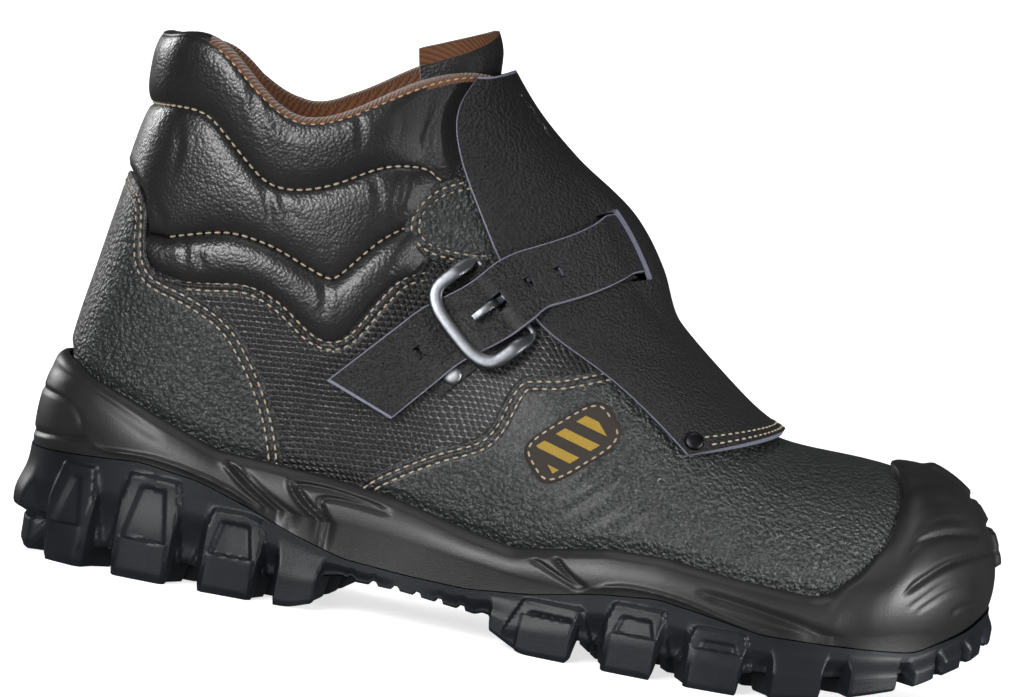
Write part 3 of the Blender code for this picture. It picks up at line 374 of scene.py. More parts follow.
def make_mesh(name, points, faces, finishes, slots=None, uv=None, sharp=40.0):
    """Make an object at the origin from points in millimetres, quads, finishes and a map in metres."""
    mesh = bpy.data.meshes.new(name)
    metres = np.asarray(points).reshape(-1, 3) * MM - OFFSET
    mesh.from_pydata(metres.tolist(), [], np.asarray(faces).tolist())
    for finish in finishes:
        mesh.materials.append(finish)
    if slots is not None:
        mesh.polygons.foreach_set("material_index", np.asarray(slots, np.int32))
    if uv is not None:
        corner = np.empty(len(mesh.loops), np.int32)
        mesh.loops.foreach_get("vertex_index", corner)
        layer = mesh.uv_layers.new(name="UVMap")
        layer.data.foreach_set("uv", np.asarray(uv, np.float32).reshape(-1, 2)[corner].ravel())
    work = bmesh.new()
    work.from_mesh(mesh)
    bmesh.ops.remove_doubles(work, verts=work.verts, dist=2e-6)
    bmesh.ops.dissolve_degenerate(work, dist=1e-7, edges=work.edges)
    loose = [vert for vert in work.verts if not vert.link_faces]
    bmesh.ops.delete(work, geom=loose, context="VERTS")
    work.to_mesh(mesh)
    work.free()
    mesh.shade_smooth()
    mesh.set_sharp_from_angle(angle=np.radians(sharp))
    made = bpy.data.objects.new(name, mesh)
    bpy.context.scene.collection.objects.link(made)
    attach(made, "root")
    PIECES.append(made)
    print(f"{name}: {len(mesh.polygons)} faces")
    return made


def face_out(quads, points, normals):
    """Return the quads, turned round if they face against the given normals."""
    flat = np.asarray(points).reshape(-1, 3)
    a, b, c, d = (flat[quads[:, k]] for k in range(4))
    facing = np.cross(c - a, d - b)
    agree = np.sum(facing * np.asarray(normals).reshape(-1, 3)[quads[:, 0]])
    return quads if agree > 0 else quads[:, ::-1]


def sheet(name, points, normals, finish, uv=None, sharp=40.0, keep=None):
    """Make a one-sided sheet from a grid of points."""
    index = np.arange(points.shape[0] * points.shape[1]).reshape(points.shape[:2])
    quads = face_out(quads_of(index, keep), points, normals)
    return make_mesh(name, points, quads, [finish], None, uv, sharp)


def slab(name, outer, inner, normals, finishes, keep=None, uv=None, sharp=40.0, trim=None):
    """Make a closed slab between two grids. The last finish is for its cut edges, a middle one for its back.

    Faces of the outer grid that `trim` marks take the finish of the edges too.
    """
    rows, columns = outer.shape[:2]
    index = np.arange(rows * columns).reshape(rows, columns)
    if keep is None:
        keep = np.ones((rows - 1, columns - 1), bool)
    top = face_out(quads_of(index, keep), outer, normals)
    bottom = top[:, ::-1] + rows * columns
    corners = top[:, [0, 1, 1, 2, 2, 3, 3, 0]].reshape(-1, 2)
    key = np.sort(corners, 1)
    _, first, count = np.unique(key[:, 0] * rows * columns + key[:, 1], return_index=True, return_counts=True)
    rim = corners[first[count == 1]]
    sides = np.stack([rim[:, 1], rim[:, 0], rim[:, 0] + rows * columns, rim[:, 1] + rows * columns], 1)
    points = np.concatenate([outer.reshape(-1, 3), inner.reshape(-1, 3)])
    slots = np.repeat([0, len(finishes) - 2, len(finishes) - 1], [len(top), len(top), len(sides)])
    if trim is not None:
        slots[:len(top)][trim[keep]] = len(finishes) - 1
    both = None if uv is None else np.concatenate([uv.reshape(-1, 2)] * 2)
    faces = np.concatenate([top, bottom, sides])
    return make_mesh(name, points, faces, finishes, slots, both, sharp)


def side_map(points):
    """Return a map in metres for a grid on the shoe's side: along the shoe and up the wall."""
    return points[:, :, [0, 2]] * MM


# %% [markdown]
# A finish is a small network of shader nodes. Written by hand such networks grow long, so a tiny class wraps
# a socket and lets Python operators add the Math nodes. Then a leather grain reads like the formula it is.

# %% A small language for finishes
class Value:
    """A socket that takes part in Python sums. Each operator adds one Math node."""

    def __init__(self, tree, socket):
        self.tree = tree
        self.socket = socket

    def math(self, operation, first, second=0.0):
        """Add a Math node and return its result."""
        node = self.tree.nodes.new("ShaderNodeMath")
        node.operation = operation
        for place, value in ((0, first), (1, second)):
            if isinstance(value, Value):
                self.tree.links.new(value.socket, node.inputs[place])
            else:
                node.inputs[place].default_value = value
        return Value(self.tree, node.outputs[0])

    def __add__(self, other):
        return self.math("ADD", self, other)

    def __sub__(self, other):
        return self.math("SUBTRACT", self, other)

    def __rsub__(self, other):
        return self.math("SUBTRACT", other, self)

    def __mul__(self, other):
        return self.math("MULTIPLY", self, other)

    __radd__ = __add__
    __rmul__ = __mul__

    def sine(self):
        """Return the sine of this value."""
        return self.math("SINE", self)

    def size(self):
        """Return this value without its sign."""
        return self.math("ABSOLUTE", self)

    def held(self):
        """Return this value held between 0 and 1."""
        return self.most(0.0).least(1.0)

    def least(self, other):
        """Return the smaller of two values."""
        return self.math("MINIMUM", self, other)

    def most(self, other):
        """Return the larger of two values."""
        return self.math("MAXIMUM", self, other)

    def over(self, edge):
        """Return 1 where this value is greater than the edge."""
        return self.math("GREATER_THAN", self, edge)


class Finish:
    """A material with one principled shader, whose constant values are set directly on its sockets."""

    def __init__(self, name, colour, roughness, **constants):
        self.material = bpy.data.materials.new(name)
        self.material.use_nodes = True
        self.tree = self.material.node_tree
        self.shader = self.tree.nodes["Principled BSDF"]
        self.shader.inputs["Base Color"].default_value = (*colour, 1.0)
        self.shader.inputs["Roughness"].default_value = roughness
        for socket, value in constants.items():
            self.shader.inputs[socket.replace("_", " ")].default_value = value

    def node(self, kind, settings=None, output=0, **sockets):
        """Add a node of any kind: its settings first, then the values or links of its sockets."""
        node = self.tree.nodes.new(kind)
        for name, value in (settings or {}).items():
            setattr(node, name, value)
        for name, value in sockets.items():
            socket = node.inputs[int(name[1:]) if name[1:].isdigit() else name.replace("_", " ")]
            if isinstance(value, Value):
                self.tree.links.new(value.socket, socket)
            else:
                socket.default_value = value
        return Value(self.tree, node.outputs[output])

    def place(self, kind="Object"):
        """Return the coordinates of a point: Object in metres, or the piece's own map."""
        return self.node("ShaderNodeTexCoord", output=kind)

    def parts(self, vector):
        """Return the three numbers of a vector."""
        node = self.tree.nodes.new("ShaderNodeSeparateXYZ")
        self.tree.links.new(vector.socket, node.inputs[0])
        return [Value(self.tree, output) for output in node.outputs]

    def noise(self, scale, detail=2.0, rough=0.5):
        """Return soft noise from 0 to 1 with `scale` blobs to the metre."""
        return self.node("ShaderNodeTexNoise", None, "Fac", Vector=self.place(), Scale=scale, Detail=detail,
                         Roughness=rough)

    def pebbles(self, size, smooth):
        """Return the distance to the nearest of scattered points about `size` metres apart, from 0 to 1."""
        return self.node("ShaderNodeTexVoronoi", {"feature": "SMOOTH_F1"}, "Distance", Vector=self.place(),
                         Scale=1.0 / size, Smoothness=smooth)

    def mix(self, share, first, second):
        """Return a colour between two colours or colour values."""
        pair = {}
        for name, colour in (("_6", first), ("_7", second)):
            pair[name] = colour if isinstance(colour, Value) else (*colour, 1.0)
        return self.node("ShaderNodeMix", {"data_type": "RGBA"}, 2, _0=share, **pair)

    def bump(self, rise, depth, strength=1.0):
        """Lay a height from 0 to 1, `depth` metres tall, over the surface."""
        normal = self.node("ShaderNodeBump", None, 0, Strength=strength, Distance=depth, Height=rise)
        self.tree.links.new(normal.socket, self.shader.inputs["Normal"])
        return normal

    def feed(self, **sockets):
        """Link values to the shader's sockets."""
        for name, value in sockets.items():
            self.tree.links.new(value.socket, self.shader.inputs[name.replace("_", " ")])
        return self.material


def times(colour, factor):
    """Return a colour made darker or lighter by a factor."""
    return tuple(min(1.0, part * factor) for part in colour)


print("a finish is made with:", [name for name in vars(Finish) if name[0] != "_"])

# %% [markdown]
# The shoe has several blacks of leather. The heel panel and the vamp are a pebbled hide with a semi-gloss
# coat, the quarter carries a printed field of small dimples in slanted rows, and the collar is a soft smooth
# hide. The flap and the strap are a duller pebbled hide. All are a dark base whose gloss does the work, so
# the grain goes into bump and roughness rather than colour.

# %% Leather finishes
def pebbled_leather(name, colour, size, depth, roughness, scuff=0.35, gloss=0.5):
    """Leather with a grain of rounded pebbles, finer wrinkles between them and a worn sheen."""
    finish = Finish(name, colour, roughness, Specular_IOR_Level=gloss, Coat_Weight=0.24 * gloss,
                    Coat_Roughness=0.3)
    swirl = finish.noise(260.0, 2.0)
    grain = finish.pebbles(size, 0.25)
    small = finish.pebbles(size * 0.5, 0.25)
    patches = finish.noise(28.0, 3.0, 0.6)
    hollow = grain * 0.8 + small * 0.35 + swirl * 0.25
    finish.bump(1.0 - hollow, depth)
    tone = (hollow * 0.7 + patches * 0.5 - 0.25).held()
    worn = tuple(part * (1.0 + scuff) + 0.004 for part in colour)
    return finish.feed(Base_Color=finish.mix(tone, times(colour, 0.75), worn),
                       Roughness=(roughness - 0.08 + hollow * 0.16 + patches * 0.12).least(0.95))


def dimpled_leather(name, colour, pitch, depth, roughness):
    """Printed leather: dimples where two sets of slanted waves cross, over a faint natural grain."""
    finish = Finish(name, colour, roughness, Specular_IOR_Level=0.5, Coat_Weight=0.10, Coat_Roughness=0.3)
    along, upward, _ = finish.parts(finish.place("UV"))
    turn = 2.0 * np.pi / pitch
    drift = (finish.noise(45.0, 2.0) - 0.5) * 0.006
    slanted = along * 0.91 - upward * 0.42 + drift
    steep = along * 0.42 + upward * 0.91 + drift
    rows = (slanted * (turn * 0.5) + steep * (turn * 0.87)).sine() * 0.5 + 0.5
    files = (slanted * (turn * 0.5) - steep * (turn * 0.87)).sine() * 0.5 + 0.5
    dimple = rows * files
    grain = finish.noise(900.0, 2.0)
    patches = finish.noise(30.0, 3.0, 0.6)
    finish.bump(dimple * 0.75 + grain * 0.3, depth)
    tone = (dimple * 0.55 + patches * 0.5 - 0.2).held()
    return finish.feed(Base_Color=finish.mix(tone, times(colour, 0.7), times(colour, 1.5)),
                       Roughness=roughness + dimple * 0.08 + patches * 0.10 - 0.07)


def soft_leather(name, colour, roughness):
    """Smooth soft leather: very fine grain, faint wrinkles and a satin sheen."""
    finish = Finish(name, colour, roughness, Specular_IOR_Level=0.5, Coat_Weight=0.08, Coat_Roughness=0.35)
    fine = finish.pebbles(0.0010, 0.3)
    wrinkle = finish.noise(230.0, 4.0, 0.65)
    patches = finish.noise(24.0, 3.0, 0.6)
    finish.bump(wrinkle * 0.8 + (1.0 - fine) * 0.4, 0.0004, 0.8)
    tone = (patches * 0.9 + wrinkle * 0.4 - 0.35).held()
    return finish.feed(Base_Color=finish.mix(tone, times(colour, 0.7), times(colour, 1.35)),
                       Roughness=roughness + patches * 0.14 - 0.06)


PEBBLED = pebbled_leather("pebbled_leather", (0.014, 0.015, 0.015), 0.00150, 0.00100, 0.34)
DIMPLED = dimpled_leather("dimpled_leather", (0.018, 0.018, 0.018), 0.00175, 0.00110, 0.33)
SOFT = soft_leather("soft_leather", (0.012, 0.012, 0.012), 0.34)
FLAP_HIDE = pebbled_leather("flap_leather", (0.006, 0.006, 0.0065), 0.00110, 0.00075, 0.52, 0.3, 0.32)
STRAP_HIDE = pebbled_leather("strap_leather", (0.007, 0.007, 0.0075), 0.00110, 0.00080, 0.46, 0.3, 0.36)


def cut_edge(name, colour):
    """The bare edge of cut leather: dry, fibrous and a little blue from the dye."""
    finish = Finish(name, colour, 0.85, Specular_IOR_Level=0.2)
    fibre = finish.noise(1500.0, 3.0, 0.7)
    finish.bump(fibre, 0.0002)
    return finish.feed(Base_Color=finish.mix(fibre, times(colour, 0.45), times(colour, 1.25)))


CUT_EDGE = cut_edge("cut_edge", (0.16, 0.16, 0.21))
print("leathers:", [m.name for m in (PEBBLED, DIMPLED, SOFT, FLAP_HIDE, STRAP_HIDE, CUT_EDGE)])

# %% [markdown]
# Inside, the shoe is lined with a ribbed brown textile whose edge is bound with the same cloth. The thread
# is cream on the outside seams and tan on the binding. Fine ribs come from a sine of the map, which follows
# the lining round the collar.

# %% Cloth and thread finishes
def ribbed_cloth(name, colour, pitch, where="UV"):
    """Ribbed lining: slanted ribs, each broken into short stitches."""
    finish = Finish(name, colour, 0.9, Specular_IOR_Level=0.2, Sheen_Weight=0.35)
    along, upward, _ = finish.parts(finish.place(where))
    turn = 2.0 * np.pi / pitch
    rib = ((along * 0.9 + upward * 0.45) * turn).sine() * 0.5 + 0.5
    knot = ((upward * 0.9 - along * 0.45) * (turn * 1.7)).sine() * 0.5 + 0.5
    fuzz = finish.noise(1400.0, 2.0)
    rise = rib * 0.7 + knot * 0.25 + fuzz * 0.2
    finish.bump(rise, 0.0005)
    return finish.feed(Base_Color=finish.mix(rise.least(1.0), times(colour, 0.35), times(colour, 1.25)))


def thread_finish(name, colour):
    """Twisted sewing thread with a little dirt."""
    finish = Finish(name, colour, 0.7, Specular_IOR_Level=0.35)
    dirt = finish.noise(420.0, 2.0)
    twist = finish.noise(5200.0, 1.0)
    finish.bump(twist, 0.0001)
    return finish.feed(Base_Color=finish.mix(dirt, times(colour, 0.55), times(colour, 1.2)))


LINING = ribbed_cloth("brown_lining", (0.11, 0.040, 0.014), 0.0022)
BINDING = ribbed_cloth("brown_binding", (0.13, 0.054, 0.023), 0.0013)
FOOTBED = ribbed_cloth("footbed_cloth", (0.09, 0.045, 0.025), 0.0026, "Object")
CREAM = thread_finish("cream_thread", (0.33, 0.275, 0.205))
TAN = thread_finish("tan_thread", (0.42, 0.25, 0.13))
print("cloths:", LINING.name, BINDING.name, FOOTBED.name, "threads:", CREAM.name, TAN.name)

# %% [markdown]
# Rubber looks dull and close, steel looks satin. The midsole is a neutral black with a slightly oily gloss,
# the outsole a colder and duller blue black. Both carry a fine moulding texture and some dust in the noise.

# %% Rubber and metal finishes
def rubber(name, colour, roughness, gloss):
    """Moulded rubber: fine mould texture, cloudy gloss and a trace of dust."""
    finish = Finish(name, colour, roughness, Specular_IOR_Level=gloss)
    skin = finish.noise(2400.0, 2.0, 0.6)
    cloud = finish.noise(40.0, 4.0, 0.6)
    finish.bump(skin, 0.00006)
    dusty = tuple(part * 1.5 + 0.004 for part in colour)
    return finish.feed(Base_Color=finish.mix((cloud * 1.6 - 0.4).held(), times(colour, 0.8), dusty),
                       Roughness=roughness - 0.08 + cloud * 0.16 + skin * 0.05)


def brushed_metal(name, colour, roughness):
    """Satin metal with fine wear marks and darker tarnish patches."""
    finish = Finish(name, colour, roughness, Metallic=1.0)
    wear = finish.noise(700.0, 3.0, 0.65)
    stain = finish.noise(160.0, 3.0, 0.6)
    finish.bump(wear, 0.00005)
    return finish.feed(Base_Color=finish.mix((stain * 1.5 - 0.25).held(), times(colour, 0.55), colour),
                       Roughness=roughness - 0.1 + wear * 0.3)


MIDSOLE_RUBBER = rubber("midsole_rubber", (0.0095, 0.0095, 0.0098), 0.38, 0.42)
OUTSOLE_RUBBER = rubber("outsole_rubber", (0.006, 0.007, 0.0095), 0.38, 0.24)
STEEL = brushed_metal("buckle_steel", (0.25, 0.26, 0.28), 0.36)
RIVET_METAL = brushed_metal("rivet_metal", (0.42, 0.43, 0.45), 0.38)
BLACK_METAL = brushed_metal("black_metal", (0.035, 0.035, 0.038), 0.34)
print("rubbers:", MIDSOLE_RUBBER.name, OUTSOLE_RUBBER.name)
print("metals:", STEEL.name, RIVET_METAL.name, BLACK_METAL.name)

# %% [markdown]
# A panel is a stretch of the wall between two shares, lifted off the last by the thickness of the leather.
# Its free edge is rounded down to the leather below, and the thread pulls two shallow furrows beside it. The
# distance of every point to the edge decides both, so one function serves every panel.

# %% Panels of leather
PANEL = 0.9
ROUND = 0.9
STITCH_IN = (2.0, 4.3)
RIM_COLUMNS = ("x", "rim", "thick_low", "thick_rim")
RIM = (
    (9, 63, 7, 3), (18, 58.5, 6.5, 3), (36, 52.5, 6.5, 2.8), (48, 48, 6.5, 2.6),
    (62, 43.5, 6.5, 2.6), (98, 41.5, 6.5, 2.6), (120, 38.5, 6.5, 2.6), (143, 33.5, 6.5, 2.6),
    (158, 31, 6.2, 2.6), (170, 33.2, 6, 2.6), (186, 36.3, 6, 2.6), (204, 37, 6, 2.6),
    (226, 34.5, 6, 2.6), (250, 33.2, 6, 2.8), (258, 36, 6.5, 3), (270, 90, 7.5, 4.4),
    (281, 90, 8, 4.6), (299, 90, 9, 6.5),
)
RIM_TABLE = table(RIM_COLUMNS, RIM)
RIM_GROOVE = 1.5


def rim_at(name, x):
    """Return a named value of the midsole's rim at distances x from the back of the heel."""
    return np.interp(x, RIM_TABLE["x"], RIM_TABLE[name])


def rim_dip(points):
    """Return how deep the leather dips into the groove along the midsole's rim: a half bell above the rim."""
    above = np.maximum(points[:, :, 2] - rim_at("rim", points[:, :, 0]), 0.0)
    return RIM_GROOVE * np.exp(-(above / 2.4) ** 2) * (1.0 - ease(points[:, :, 0], 250.0, 262.0))


def edge_distance(points, line):
    """Return the distance from each point of a grid to the nearest point of a line."""
    flat = points.reshape(-1, 3)
    chunks = [np.sqrt(((part[:, None, :] - line[None]) ** 2).sum(2).min(1))
              for part in np.array_split(flat, max(1, len(flat) * len(line) // 4000000))]
    return np.concatenate(chunks).reshape(points.shape[:2])


def panel_lift(points, line, seams=STITCH_IN):
    """Return the lift of a panel: its thickness, rounded at the edge, with furrows along the seams."""
    away = edge_distance(points, line)
    lift = PANEL - 0.45 * (1.0 - ease(away, 0.0, ROUND))
    for distance in seams:
        lift = lift - 0.32 * np.exp(-((away - distance) / 0.55) ** 2)
    return lift + 0.18 * np.exp(-((away - 3.15) / 0.7) ** 2) - rim_dip(points)


def beside(points, line, count=90):
    """Return each point's distance from a line seen from the side, and its share of the way along it."""
    flat = points[:, :, [0, 2]].reshape(-1, 2)
    path = curve(line, count)
    blocks = []
    for part in np.array_split(flat, max(1, len(flat) * count // 4000000)):
        away = ((part[:, None, :] - path[None]) ** 2).sum(2)
        blocks.append([np.sqrt(away.min(1)), away.argmin(1) / (count - 1.0)])
    return np.concatenate(blocks, 1).reshape((2,) + points.shape[:2])


def creases(points, lines, depth, width):
    """Return soft troughs along lines given in side view, each with a low ridge on both sides."""
    total = np.zeros(points.shape[:2])
    for line in lines:
        near, along = beside(points, line, 50)
        fade = np.sin(np.pi * np.clip(along, 0.02, 0.98)) ** 0.7
        ridge = 0.45 * np.exp(-((near - 1.8 * width) / width) ** 2)
        total += depth * fade * (ridge - np.exp(-(near / width) ** 2))
    return total


def panel(name, base, normal, lift, tuck, finish):
    """Make a panel: a grid lifted off the last, with one more column that tucks its edge in."""
    points = base + normal * lift[:, :, None]
    points = np.concatenate([points, (base - normal * tuck)[:, -1:]], 1)
    made = sheet(name, points, np.concatenate([normal, normal[:, -1:]], 1), finish, side_map(points))
    return made


def steps(*stretches):
    """Return even steps over stretches given as (start, end, count), each value once."""
    return np.unique(np.concatenate([np.linspace(*stretch) for stretch in stretches]))


print("a panel stands", PANEL, "mm off the last, its seams", STITCH_IN, "mm inside its edge")



# %% [markdown]
# The quarter is the printed leather on each side of the ankle. It runs down into the cup of the midsole and
# forward under the vamp and the flap, and its scalloped upper edge lies over the lowest roll of the collar.

# %% Quarters
def quarter(side):
    """A grid of the wall from the feather line to the scalloped edge, ending in the flap's shade."""
    station = np.linspace(0.9, 8.2, 330)
    top = QUARTER_TOP.at(station)
    top = top + (1.0 - top) * ease(station, 4.35, 5.0)
    ring = station if side == "lateral" else RING - station
    share = top[:, None] * steps((0.0, 0.86, 60), (0.87, 1.0, 26))
    base = wall(ring, share)
    lift = panel_lift(base, base[:, -1][station < 4.7]) - 0.7
    return panel("quarter_" + side, base, wall_normal(ring, share), lift, 1.6, DIMPLED)


for side in ("lateral", "medial"):
    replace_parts(quarter(side), "upper")

# %% [markdown]
# The heel panel wraps the back of the shoe in one piece of pebbled leather. Its columns are spaced along its
# own edge, so the steep fronts stay as smooth as the back.

# %% Heel panel
def mirrored(ring):
    """Return ring places of the lateral side followed back through the heel to the medial side."""
    return np.concatenate([ring[::-1], RING - ring[1:]])


heel_along = np.linspace(0.0, len(HEEL_EDGE.ring) - 1.0, 170)
heel_ring = mirrored(np.interp(heel_along, np.arange(len(HEEL_EDGE.ring)), HEEL_EDGE.ring))
heel_share = HEEL_EDGE.at(heel_ring)[:, None] * steps((0.0, 0.9, 70), (0.905, 1.0, 30))
heel_base = wall(heel_ring, heel_share)
heel_over = 0.5 * ease(heel_base[:, :, 2], 86.0, 110.0)
heel_lift = panel_lift(heel_base, heel_base[:, -1]) + heel_over
heel_panel = panel("heel_panel", heel_base, wall_normal(heel_ring, heel_share), heel_lift, 1.2, PEBBLED)
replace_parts(heel_panel, "upper")

# %% [markdown]
# The vamp covers the front of the foot. It bends there with every step, so a few slanted creases are pressed
# into it, as soft troughs with a low ridge on each side.

# %% Vamp
VAMP_CREASES = (
    ((168, 42), (180, 53), (192, 63)),
    ((176, 40), (184, 47), (197, 58)),
    ((186, 42), (193, 47), (199, 53.5)),
    ((172, 50), (178, 57.5), (187, 65)),
)
vamp_station = np.concatenate([VAMP_EDGE.ring[:-1], np.linspace(VAMP_EDGE.ring[-1], TOE, 190)])
vamp_top = VAMP_EDGE.at(vamp_station)
vamp_top = vamp_top + (1.0 - vamp_top) * ease(vamp_station, VAMP_EDGE.ring[-1] - 0.2, THROAT - 0.6)
vamp_ring = np.concatenate([vamp_station, (RING - vamp_station)[::-1][1:]])
vamp_top = np.concatenate([vamp_top, vamp_top[::-1][1:]])
vamp_share = vamp_top[:, None] * steps((0.0, 0.86, 66), (0.87, 1.0, 26))
vamp_base = wall(vamp_ring, vamp_share)
vamp_open = np.minimum(vamp_ring, RING - vamp_ring) < THROAT - 1.3
vamp_lift = panel_lift(vamp_base, vamp_base[:, -1][vamp_open])
vamp_lift = vamp_lift + creases(vamp_base, VAMP_CREASES, 0.32, 1.5)
vamp_tuck = np.where(vamp_open, 1.2, -vamp_lift[:, -1])[:, None, None]
vamp = panel("vamp", vamp_base, wall_normal(vamp_ring, vamp_share), vamp_lift, vamp_tuck, PEBBLED)
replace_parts(vamp, "upper")

# %% [markdown]
# The collar is three padded rolls of soft leather, divided by seams. Foam pressed between two seams bulges
# like half a pillow, so each roll is lifted by a rounded profile and pinched at the seams. A cloth simulation
# could blow it up, but the seams have to stay on their lines, so the bulge is written down instead. The inner
# side of the rim stands a little higher than the outer one, so its lining shows over the near edge.

# %% Collar rolls
COLLAR_WRINKLES = (
    ((45, 103), (47, 99), (48.5, 97.5)),
    ((38, 108), (41, 103), (42, 98)),
    ((66, 126), (70, 121), (76, 117)),
    ((60, 128), (64, 121), (66, 113)),
    ((93, 136), (96, 130), (97, 124)),
    ((101, 139), (102.5, 133), (102, 126)),
    ((84, 101), (86, 96), (86.5, 90)),
    ((57, 151), (62, 146), (69, 143.5)),
    ((52, 158), (55, 150), (60, 142)),
    ((84, 156), (87, 150), (88, 143)),
    ((97, 160), (99, 152), (98.5, 146)),
    ((110, 160), (108, 152), (109, 145)),
    ((31, 142), (34, 134), (33, 125)),
    ((26, 120), (31, 113), (33, 107)),
)
ROLL_RISE = steps((0.0, 0.12, 5), (0.12, 0.88, 18), (0.88, 1.0, 5))


def roll_profile(rise):
    """Return the bulge of a roll: a flattened half round, 0 at both seams and 1 in the middle."""
    return np.sqrt(np.clip(1.0 - np.abs(2.0 * rise - 1.0) ** 2.4, 0.0, 1.0))


INNER_RISE = ((15, 0), (34, -2.5), (50, -1.5), (64, 2.5), (80, 5), (110, 5), (128, 0))
rim_line = wall(np.linspace(0.0, 6.0, 60), np.ones(1))[:, 0]


def inner_rise(points):
    """Return points raised by a table along x, fading out below the rim and across to the outer side."""
    rise = np.interp(points[..., 0], *np.array(INNER_RISE).T)
    below = points[..., 2] - np.interp(points[..., 0], rim_line[:, 0], rim_line[:, 2])
    raised = points.copy()
    raised[..., 2] += rise * ease(points[..., 1], 6.0, 24.0) * ease(below, -24.0, -1.0)
    return raised


collar_ring = mirrored(np.linspace(0.0, 5.35, 260))
collar_seams = [QUARTER_TOP.at(collar_ring) - 0.02, COLLAR_LOW.at(collar_ring), COLLAR_HIGH.at(collar_ring),
                np.ones(len(collar_ring))]
collar_shares = []
collar_lifts = []
for low, high, bulge, pinch in zip(collar_seams, collar_seams[1:], (3.0, 2.4, 2.6), (-1.6, -0.9, -0.9)):
    collar_shares.append(low[:, None] + (high - low)[:, None] * ROLL_RISE)
    roll = pinch + (bulge - pinch) * roll_profile(ROLL_RISE)
    collar_lifts.append(np.broadcast_to(roll, collar_shares[-1].shape))
collar_share = np.concatenate(collar_shares, 1)
collar_lift = np.concatenate(collar_lifts, 1)
collar_base = wall(collar_ring, collar_share)
full = 1.0 - ease(collar_base[:, :, 0], 103.0, 117.0)
top_roll = slice(-len(ROLL_RISE), None)
full[:, top_roll] = 1.0 - 1.5 * ease(collar_base[:, top_roll, 0], 90.0, 117.0)
collar_lift = np.where(collar_lift > 0.0, collar_lift * full, collar_lift)
covered = 1.0 - ease(collar_share - HEEL_EDGE.at(collar_ring)[:, None], -0.004, 0.028)
collar_lift = collar_lift + (-0.6 - collar_lift) * covered
collar_lift = collar_lift + creases(collar_base, COLLAR_WRINKLES, 0.32, 1.4)
collar_normal = wall_normal(collar_ring, collar_share)
collar_points = inner_rise(collar_base + collar_normal * collar_lift[:, :, None])
collar = sheet("collar", collar_points, collar_normal, SOFT, side_map(collar_points), 60.0)
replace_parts(collar, "upper")

# %% [markdown]
# The lining is the inner face of the same wall, as deep inside as the foam is thick. A rounded strip of cloth
# binds its edge to the leather, and the eye meets it as the brown line round the opening.

# %% Lining and binding
def inner_depth(base, ring):
    """Return how far inside the outer face the lining lies: leather, and foam near the collar."""
    station = np.minimum(ring % RING, RING - ring % RING)
    foam = ease(base[:, :, 2], 96.0, 126.0) * (1.0 - ease(station, 4.1, 5.0))[:, None]
    return LEATHER + COLLAR_PAD * foam


lining_ring = np.linspace(0.0, RING, 421)
lining_share = np.linspace(0.02, 1.0, 70)
lining_base = wall(lining_ring, lining_share)
lining_depth = inner_depth(lining_base, lining_ring) * (1.0 - 0.30 * ease(lining_share, 0.93, 1.0))
lining_normal = wall_normal(lining_ring, lining_share)
lining_points = inner_rise(lining_base - lining_normal * lining_depth[:, :, None])
lining_along = run_of(lining_points[:, 40])[:, None]
lining_map = np.stack(np.broadcast_arrays(lining_along, lining_points[:, :, 2]), -1) * MM
lining = sheet("lining", lining_points, -lining_normal, LINING, lining_map, 60.0)
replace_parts(lining, "upper")

BINDING_START = 37.0
bind_ring = mirrored(np.linspace(0.0, 5.2, 300))
BINDING_SHARES = np.array([0.955, 0.982, 1.0])
bind_base = inner_rise(wall(bind_ring, BINDING_SHARES))
bind_normal = wall_normal(bind_ring, BINDING_SHARES)
bind_depth = inner_depth(bind_base, bind_ring)[:, 2] * 0.70
bind_up = unit(bind_base[:, 2] - bind_base[:, 0])
bind_turn = np.linspace(-0.15 * np.pi, 1.1 * np.pi, 15)
bind_half = (bind_depth + 0.9) / 2.0
bind_centre = bind_base[:, 2] - bind_normal[:, 2] * (bind_depth / 2.0)[:, None] - bind_up * 0.6
bind_points = (bind_centre[:, None]
               + bind_normal[:, None, 2] * (np.cos(bind_turn) * bind_half[:, None])[:, :, None]
               + bind_up[:, None] * (np.sin(bind_turn) * 1.5)[:, None])
bind_outer = bind_base[:, 1] + bind_normal[:, 1] * 0.15
bind_inner = bind_centre - bind_normal[:, 2] * (bind_half + 0.1)[:, None] - bind_up * 4.5
bind_points = np.concatenate([bind_outer[:, None], bind_points, bind_inner[:, None]], 1)
bind_around = np.linspace(0.0, 12.0, bind_points.shape[1])
bind_map = np.stack(np.broadcast_arrays(run_of(bind_centre)[:, None], bind_around), -1) * MM
bind_facing = bind_points - (bind_centre - bind_up * 2.0)[:, None]
bind_index = np.arange(bind_points.shape[0] * bind_points.shape[1]).reshape(bind_points.shape[:2])
bind_black = (bind_points[:-1, :-1, 0] < BINDING_START) & (np.arange(bind_points.shape[1] - 1) < 9)
bind_quads = face_out(quads_of(bind_index), bind_points, bind_facing)
binding = make_mesh("binding", bind_points, bind_quads, [BINDING, SOFT], bind_black.ravel().astype(int),
                    bind_map, 60.0)

# %% [markdown]
# A small stitched patch strengthens each side of the throat. Its rounded back end shows behind the flap and
# its front is hidden, so it is a fan of lines from its outline to its middle.

# %% Facing patches
PATCH = ((128, 146), (121.3, 140.5), (113.1, 136), (107, 128.1), (106, 122), (108, 117.4),
         (112.9, 114.2), (118.9, 112.8), (129, 112.2), (137, 114))
PATCH_MIDDLE = (128.0, 128.0)
patch_line = curve(PATCH, 150)


